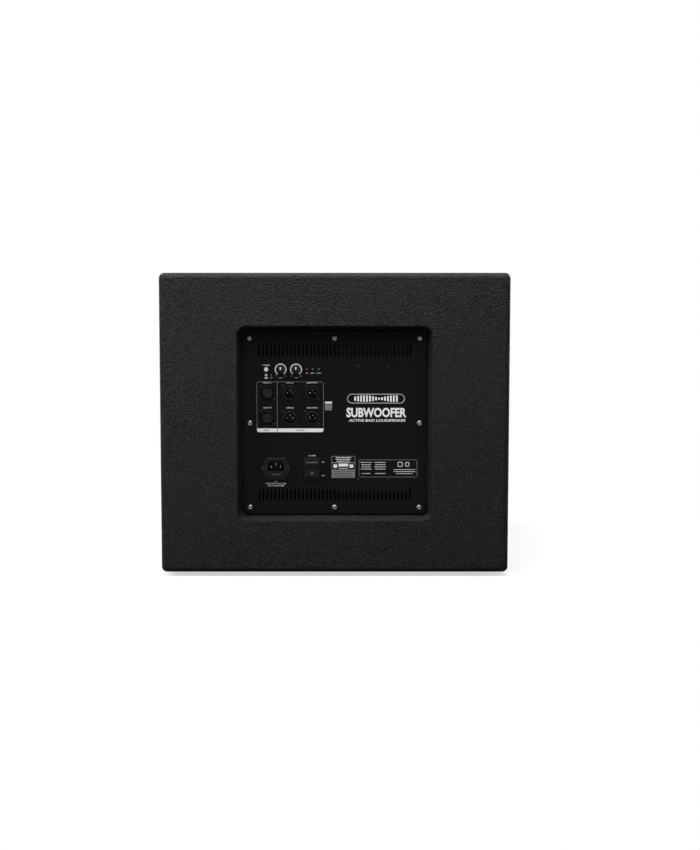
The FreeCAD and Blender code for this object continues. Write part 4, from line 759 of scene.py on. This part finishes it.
def print_connectors(white, black, grey_print):
    """The outlined field round the six connectors, with two title bars along its foot and a pin table."""
    in_low, in_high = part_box("xlr_inputs")
    out_low, out_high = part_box("xlr_outputs")
    left = in_low.x - 2.6 * MM
    right = out_high.x + 3.2 * MM
    top = in_high.z + 3.5 * MM
    foot = in_low.z - 7.9 * MM
    split = in_high.x + 1.4 * MM
    corner = 3.0 * MM
    bar_height = 5.6 * MM
    mid_x, mid_z = (left + right) / 2, (top + foot) / 2
    field = rounded_outline(mid_x, mid_z, right - left, top - foot, corner)
    grey_print.stroke(field, LINE, closed=True)
    grey_print.bar(split, (top + foot + bar_height) / 2, LINE, top - foot - bar_height)
    gap = 0.5 * MM
    for x_low, x_high, title in ((left, split, "INPUT"), (split, right, "OUTPUT")):
        outer_left, outer_right = x_low == left, x_high == right
        a = x_low + (0 if outer_left else gap)
        b = x_high - (0 if outer_right else gap)
        outline = [(a, foot + bar_height)]
        if outer_left:
            outline += [(a, foot + corner), (a + 0.3 * corner, foot + 0.3 * corner), (a + corner, foot)]
        else:
            outline.append((a, foot))
        if outer_right:
            outline += [(b - corner, foot), (b - 0.3 * corner, foot + 0.3 * corner), (b, foot + corner)]
        else:
            outline.append((b, foot))
        outline.append((b, foot + bar_height))
        white.patch(outline)
        black.words(title, (a + b) / 2, foot + bar_height / 2, 2.2 * MM, bold=0.01)
    grid = socket_grid()
    titles = {"in": ["INPUT L", "INPUT R"], "out": ["LINK L", "HIGH PASS L", "LINK R", "HIGH PASS R"]}
    for key, places in grid.items():
        for (x, z), title in zip(places, titles[key]):
            white.words(title, x, z + 15.2 * MM, SMALL_CAPS, min(16.0, 1.75 * len(title)) * MM)
    # the pin table beside the field
    tag_x = right + 7.5 * MM
    tag_z = mid_z + 2.2 * MM
    white.bar(tag_x, tag_z + 4.6 * MM, 10.2 * MM, 2.6 * MM)
    grey_print.bar(tag_x, tag_z - 1.9 * MM, 10.2 * MM, 10.0 * MM)
    for row, digit in enumerate("123"):
        z = tag_z + (1.2 - 3.0 * row) * MM
        black.words(digit, tag_x - 3.2 * MM, z, 1.8 * MM)
        black.bar(tag_x + 1.4 * MM, z, 5.0 * MM, 0.7 * MM)


def print_title(white):
    """A plain title: a row of level bars in an outline, and what the thing is."""
    left = panel_middle.x + 19.0 * MM
    width = 84.0 * MM
    x = left + width / 2
    outline_z = panel_middle.z + 36.4 * MM
    outline_height = 13.2 * MM
    corner = outline_height / 2 - 0.01 * MM
    white.stroke(rounded_outline(x, outline_z, width, outline_height, corner, 10), 0.6 * MM, closed=True)
    bars = 15
    for i in range(bars):
        share = (i + 0.5) / bars
        rise = (2.5 + 7.0 * abs(sin(pi * share * 1.5 + 0.4))) * MM
        white.bar(left + 9.0 * MM + share * (width - 18.0 * MM), outline_z, 2.6 * MM, rise)
    white.words("SUBWOOFER", x + 0.6 * MM, panel_middle.z + 15.8 * MM, 14.2 * MM, 88.6 * MM, bold=0.035)
    white.words(
        "ACTIVE BASS LOUDSPEAKER", x + 1.6 * MM, panel_middle.z + 4.1 * MM, 3.9 * MM, 84.0 * MM, lean=0.25,
        bold=0.02,
    )


def print_mains(white):
    """The words round the mains inlet and the rocker switch."""
    inlet_low, inlet_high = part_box("mains_inlet")
    x = (inlet_low.x + inlet_high.x) / 2
    foot = inlet_low.z
    lines = (("AC", 5.0), ("MAINS INPUT AND FUSE", 30.0), ("FUSE IN THE DRAWER", 24.0))
    for i, (text, width) in enumerate(lines):
        white.words(text, x, foot - (2.9 + 3.1 * i) * MM, SMALL_CAPS, width * MM)
    switch_low, switch_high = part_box("power_switch_housing")
    switch_x = (switch_low.x + switch_high.x) / 2
    switch_z = (switch_low.z + switch_high.z) / 2
    white.words("POWER", switch_x, switch_z + 19.6 * MM, 2.0 * MM, 10.8 * MM)
    label_x = switch_high.x + 4.9 * MM
    white.words("ON", label_x, switch_z + 10.2 * MM, 1.8 * MM)
    white.words("OFF", label_x, switch_z - 10.0 * MM, 1.8 * MM)


def print_notice(white, grey_print, black, luck):
    """A square notice of unreadable print: an outlined field above, and a grey one with dark lines below."""
    x = panel_middle.x + 12.8 * MM
    z = panel_middle.z - 65.3 * MM
    width, height = 34.2 * MM, 32.2 * MM
    foot_height = 12.0 * MM
    top_height = height - foot_height
    top_z = z + foot_height / 2
    grey_print.stroke(rounded_outline(x, top_z, width, top_height, 0.4 * MM, 1), 0.6 * MM, closed=True)
    white.bar(x, top_z + 0.6 * MM, width, 0.4 * MM)
    for i in range(3):
        white.small_print(x, top_z + (8.2 - 2.7 * i) * MM, (0.66 - 0.1 * (i == 2)) * width, 1.0 * MM, luck)
    white.bar(x, top_z - 3.0 * MM, 0.42 * width, 4.4 * MM)
    white.small_print(x, top_z - 7.8 * MM, 0.4 * width, 0.9 * MM, luck)
    for side in (-1, 1):
        square = rounded_outline(x + side * 0.35 * width, top_z - 4.6 * MM, 5.6 * MM, 5.2 * MM, 1.0 * MM, 3)
        white.patch(square)
    grey_print.bar(x, z - top_height / 2, width, foot_height)
    for i in range(4):
        black.small_print(x, z - (6.4 + 2.7 * i) * MM, (0.9 - 0.06 * (i % 2)) * width, 0.9 * MM, luck)


def print_rating(white, grey_print, luck):
    """An outlined field with three columns of unreadable print."""
    left = panel_middle.x + 36.2 * MM
    right = panel_middle.x + 122.0 * MM
    x = (left + right) / 2
    z = panel_middle.z - 67.4 * MM
    width, height = right - left, 25.6 * MM
    grey_print.stroke(rounded_outline(x, z, width, height, 2.2 * MM), LINE, closed=True)
    for i in range(6):
        line_z = z + (9.0 - 3.3 * i) * MM
        if i != 4:
            white.small_print(left + 10.5 * MM, line_z, (16.0 - 1.5 * (i % 3)) * MM, 0.9 * MM, luck)
            white.small_print(left + 31.5 * MM, line_z, (17.0 - 2.0 * (i % 2)) * MM, 0.9 * MM, luck)
    for dx, size in ((-25.0, 6.2), (-14.5, 5.4)):
        square = rounded_outline(right + dx * MM, z + 6.2 * MM, size * MM, size * MM, 1.2 * MM)
        white.stroke(square, 0.8 * MM, closed=True)
    for i in range(3):
        length = (32.0 - 7.0 * (i == 2)) * MM
        white.small_print(right - 18.5 * MM, z - (1.6 + 3.0 * i) * MM, length, 0.8 * MM, luck)


def print_panel():
    luck = random.Random(15)
    white = Print("panel_print_white", print_white, 1)
    grey_layer = Print("panel_print_grey", print_grey, 0)
    black = Print("panel_print_black", print_black, 2.5)
    print_dials(white)
    print_button(white)
    print_lamps(white)
    print_connectors(white, black, grey_layer)
    print_title(white)
    print_mains(white)
    print_notice(white, grey_layer, black, luck)
    print_rating(white, grey_layer, luck)
    for layer in (grey_layer, white, black):
        layer.finished()


# ---------------------------------------------------------------- small parts on the panel


def prism(name, outline, y_back, y_front, finish_used, body, bevel=0.0):
    """A flat-faced piece: an XZ outline from one depth to another, with its front edges softened."""
    work = bmesh.new()
    back = [work.verts.new((x, y_back, z)) for x, z in outline]
    face = work.faces.new(back)
    swept = bmesh.ops.extrude_face_region(work, geom=[face])
    moved = [v for v in swept["geom"] if isinstance(v, bmesh.types.BMVert)]
    bmesh.ops.translate(work, verts=moved, vec=(0, y_front - y_back, 0))
    bmesh.ops.recalc_face_normals(work, faces=work.faces[:])
    shown = piece(name, mesh_of(name, work), finish_used, body)
    if bevel:
        soften = shown.modifiers.new("soft edges", "BEVEL")
        soften.width = bevel
        soften.segments = 2
        soften.limit_method = "ANGLE"
    return shown


def knob_pointers():
    """A raised white pointer on each knob's top, from near the middle to the skirt."""
    for knob in ("level_knob", "crossover_knob"):
        low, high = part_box(knob)
        x, z = (low.x + high.x) / 2, (low.z + high.z) / 2
        outline = rounded_outline(x, z + 2.0 * MM, 1.6 * MM, 4.2 * MM, 0.6 * MM, 3)
        sunk, raised = low.y + 0.2 * MM, low.y - 0.15 * MM
        prism(knob + "_pointer", outline, sunk, raised, print_white, knob, 0.05 * MM)


def socket_faces():
    """The dark contact block's face in each input, with three round holes."""
    insert_radius = 7.4 * MM
    pin_circle = 4.1 * MM
    hole_radius = 1.1 * MM
    block_thickness = 0.6 * MM
    y = panel_front + 0.35 * MM
    for number, (x, z) in enumerate(socket_grid()["in"], 1):
        work = bmesh.new()
        rings = [arc_points(x, z, insert_radius, 0, 360 * 39 / 40, 39)]
        for dx, dz in ((-pin_circle, 0), (pin_circle, 0), (0, pin_circle)):
            rings.append(arc_points(x + dx, z + dz, hole_radius, 0, 360 * 15 / 16, 15))
        edges = []
        for ring in rings:
            verts = [work.verts.new((px, y, pz)) for px, pz in ring]
            edges += [work.edges.new((verts[i - 1], verts[i])) for i in range(len(verts))]
        bmesh.ops.triangle_fill(work, edges=edges, use_beauty=True, normal=(0, -1, 0))
        name = f"input_face_{number}"
        shown = piece(name, mesh_of(name, work), socket_plastic, CABINET)
        thicken = shown.modifiers.new("thickness", "SOLIDIFY")
        thicken.thickness = block_thickness
        thicken.offset = 0.0


def rocker_marks():
    """The rocker's mark: a small ring low down, at the off end."""
    low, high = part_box("power_rocker")
    x = (low.x + high.x) / 2
    tall = high.z - low.z
    marks = Print("rocker_marks", print_grey, 0)
    marks.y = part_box("power_switch_housing")[0].y - ROCKER_MARK_LIFT
    marks.stroke(arc_points(x, low.z + 0.27 * tall, 1.7 * MM, 0, 360 * 23 / 24, 23), 0.7 * MM, closed=True)
    marks.finished("power_rocker")


# ---------------------------------------------------------------- grille and foam

HOLE_COLUMN = 6.93 * MM
HOLE_ROW = 8.0 * MM
HOLE_RADIUS = 2.85 * MM
GRILLE_BORDER = 12.0 * MM
GRILLE_SHEET = 1.2 * MM
GRILLE_FOLD = 2.0 * MM
SPACER_SPAN = 30.0 * MM
SPACER_CLEAR = 10.0 * MM


def perforated_field(work, x_low, z_low, columns, rows, y):
    """A sheet of round holes in staggered columns. Odd columns start and end with a blank half cell."""
    cell_x = HOLE_COLUMN
    cell_z = HOLE_ROW
    held = {}

    def corner(i, j):
        """The vertex at half steps i along X and j along Z."""
        if (i, j) not in held:
            held[i, j] = work.verts.new((x_low + i * cell_x / 2, y, z_low + j * cell_z / 2))
        return held[i, j]

    around = [(2, 1), (2, 2), (1, 2), (0, 2), (0, 1), (0, 0), (1, 0), (2, 0)]
    for column in range(columns):
        i = 2 * column
        first = column % 2
        if first:
            for j in (0, 2 * rows - 1):
                ends = [(0, 0), (1, 0), (2, 0), (2, 1), (1, 1), (0, 1)]
                work.faces.new([corner(i + a, j + b) for a, b in ends])
        for row in range(rows - first):
            j = 2 * row + first
            mid_x = x_low + (i + 1) * cell_x / 2
            mid_z = z_low + (j + 1) * cell_z / 2
            hole = []
            for k in range(16):
                a = 2 * pi * k / 16
                hole.append(work.verts.new((mid_x + HOLE_RADIUS * cos(a), y, mid_z + HOLE_RADIUS * sin(a))))
            for k in range(8):
                outer = [corner(i + a, j + b) for a, b in (around[(k + 1) % 8], around[k])]
                inner = [hole[2 * k], hole[2 * k + 1], hole[(2 * k + 2) % 16]]
                work.faces.new([*outer, *inner])


def rim_loop(work, inset, y, corner, low, high, steps=6):
    mid_x, mid_z = (low.x + high.x) / 2, (low.z + high.z) / 2
    outline = rounded_outline(
        mid_x, mid_z, high.x - low.x - 2 * inset, high.z - low.z - 2 * inset, corner, steps
    )
    return [work.verts.new((x, y, z)) for x, z in outline]


def bridge(work, first, second):
    count = len(first)
    for i in range(count):
        j = (i + 1) % count
        work.faces.new((first[i], first[j], second[j], second[i]))


def make_grille():
    """The perforated sheet with a plain border, a soft fold and four returns."""
    low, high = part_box("grille")
    face = high.y - GRILLE_SHEET / 2
    usable_x = high.x - low.x - 2 * GRILLE_BORDER
    usable_z = high.z - low.z - 2 * GRILLE_BORDER
    columns = int(usable_x / HOLE_COLUMN)
    rows = int(usable_z / HOLE_ROW)
    field_x = columns * HOLE_COLUMN
    field_z = rows * HOLE_ROW
    mid_x, mid_z = (low.x + high.x) / 2, (low.z + high.z) / 2
    work = bmesh.new()
    perforated_field(work, mid_x - field_x / 2, mid_z - field_z / 2, columns, rows, face)
    half_sheet = GRILLE_SHEET / 2
    inner = [
        work.verts.new((mid_x + x, face, mid_z + z))
        for x, z in rounded_outline(0, 0, field_x, field_z, 0.02 * MM, 6)
    ]
    loops = [inner, rim_loop(work, GRILLE_FOLD, face, 1.5 * MM, low, high)]
    for i in range(1, 5):
        a = radians(90 * i / 4)
        reach = GRILLE_FOLD - half_sheet
        inset = half_sheet + reach * (1 - sin(a))
        loops.append(rim_loop(work, inset, face - reach * (1 - cos(a)), 2.4 * MM, low, high))
    loops.append(rim_loop(work, half_sheet, low.y, 2.4 * MM, low, high))
    for first, second in zip(loops, loops[1:]):
        bridge(work, first, second)
    bmesh.ops.recalc_face_normals(work, faces=work.faces[:])
    shown = piece("perforated_grille", mesh_of("perforated_grille", work), grille_coat, CABINET)
    thicken = shown.modifiers.new("sheet", "SOLIDIFY")
    thicken.thickness = GRILLE_SHEET
    thicken.offset = 0.0
    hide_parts("grille")


def make_foam():
    """The acoustic foam behind the grille: soft edges, a faintly uneven front, and gaps for the spacers."""
    low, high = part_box("grille_foam")
    columns, rows = 60, 52
    edge = 1.0 * MM
    step_x = (high.x - low.x - 2 * edge) / columns
    step_z = (high.z - low.z - 2 * edge) / rows
    gaps = spacer_places()
    work = bmesh.new()
    luck = random.Random(4)
    front = {}
    for i in range(columns + 1):
        for j in range(rows + 1):
            rim = i in (0, columns) or j in (0, rows)
            y = high.y - (1.4 * MM if rim else luck.uniform(0.2, 0.6) * MM)
            front[i, j] = work.verts.new((low.x + edge + i * step_x, y, low.z + edge + j * step_z))
    for i in range(columns):
        for j in range(rows):
            x = low.x + edge + (i + 0.5) * step_x
            z = low.z + edge + (j + 0.5) * step_z
            if all(max(abs(x - gx), abs(z - gz)) > SPACER_CLEAR for gx, gz in gaps):
                work.faces.new((front[i, j], front[i, j + 1], front[i + 1, j + 1], front[i + 1, j]))
    loose = [v for v in work.verts if not v.link_faces]
    bmesh.ops.delete(work, geom=loose, context="VERTS")
    swept = bmesh.ops.extrude_face_region(work, geom=work.faces[:])
    for v in (v for v in swept["geom"] if isinstance(v, bmesh.types.BMVert)):
        v.co.y = low.y + 0.2 * MM
    bmesh.ops.recalc_face_normals(work, faces=work.faces[:])
    shown = piece("foam_backing", smooth(mesh_of("foam_backing", work)), foam_finish, CABINET)
    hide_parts("grille_foam")


def spacer_places():
    """The middles of the grille's spacers, found as separate islands of the node's own mesh."""
    mesh = frame["nodes"]["grille_spacers"].data
    middles = []
    for v in mesh.vertices:
        near = [m for m in middles if (m - v.co.xz).length < SPACER_SPAN]
        if not near:
            middles.append(v.co.xz.copy())
    return [tuple(sum_of_island(mesh, m)) for m in middles]


def sum_of_island(mesh, seed):
    """The middle of the vertices near a seed."""
    points = [v.co.xz for v in mesh.vertices if (v.co.xz - seed).length < SPACER_SPAN]
    low = Vector((min(p.x for p in points), min(p.y for p in points)))
    high = Vector((max(p.x for p in points), max(p.y for p in points)))
    return (low + high) / 2


# ---------------------------------------------------------------- surround and spider


def flexible_ring(name, node, line, thickness, wedges, finish_used):
    """A ring of wedges between cabinet and cone. Each wedge is built along its own radius from one profile, so
    neighbours meet.
    """
    steps = 4
    for wedge in range(wedges):
        work = bmesh.new()
        rows = []
        for s in range(steps + 1):
            a = 2 * pi * (wedge + s / steps) / wedges
            across = Vector((cos(a), 0, sin(a)))
            row = []
            for radius, y in line + [(r, y - thickness) for r, y in reversed(line)]:
                place = woofer_middle + across * radius
                row.append(work.verts.new((place.x, y, place.z)))
            rows.append(row)
        for first, second in zip(rows, rows[1:]):
            bridge(work, first, second)
        ends = [work.faces.new(rows[0]), work.faces.new(list(reversed(rows[-1])))]
        for edge in {edge for end in ends for edge in end.edges}:
            edge.smooth = False
        bmesh.ops.recalc_face_normals(work, faces=work.faces[:])
        piece_name = f"{name}_{wedge + 1}"
        shown = bpy.data.objects.new(piece_name, smooth(mesh_of(piece_name, work)))
        scene.collection.objects.link(shown)
        shown.data.materials.append(finish_used)
        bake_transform(shown)
        if wedge == 0:
            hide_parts(node)


def make_surround():
    low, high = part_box("woofer_surround")
    cone_low, cone_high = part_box("woofer_cone")
    rim = (cone_high.x - cone_low.x) / 2
    roll = high.y - low.y
    thickness = 1.2 * MM
    outside = (high.x - low.x) / 2
    line = [(outside, low.y + thickness), (rim + 2 * roll + 1.0 * MM, low.y + thickness)]
    turns = [radians(12 + 156 * i / 16) for i in range(17)]
    line += [(rim + roll + roll * cos(a), low.y + roll * sin(a)) for a in turns]
    line += [(rim - 1.0 * MM, low.y + thickness), (rim - 4.5 * MM, low.y + thickness)]
    flexible_ring(
        "surround_wedge", "woofer_surround", line, thickness, 24, surround_rubber
    )


def make_spider():
    low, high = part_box("woofer_spider")
    coil_low, coil_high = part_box("voice_coil")
    outside = (high.x - low.x) / 2
    inside = (coil_high.x - coil_low.x) / 2 - 0.8 * MM
    thickness = 0.8 * MM
    mid_y = (low.y + high.y + thickness) / 2
    wave = (high.y - low.y - thickness) / 2 - 0.2 * MM
    lip = 8.0 * MM
    folds = 5
    steps = 60
    line = [(outside, mid_y)]
    for i in range(steps + 1):
        share = i / steps
        radius = outside - lip - share * (outside - 1.5 * lip - inside)
        line.append((radius, mid_y + wave * sin(2 * pi * folds * share)))
    line.append((inside, mid_y))
    flexible_ring(
        "spider_wedge", "woofer_spider", line, thickness, 16, spider_cloth,
    )


# ---------------------------------------------------------------- the whole scene

make_camera()
make_world(seen=1.0, felt=0.01)
for softbox in SOFTBOXES:
    soft_light(*softbox)
scene.view_settings.view_transform = "Standard"
make_floor(shade=0.9, bounce=0.16)
dress_frame()
print_panel()
knob_pointers()
socket_faces()
rocker_marks()
make_grille()
make_foam()
make_surround()
make_spider()
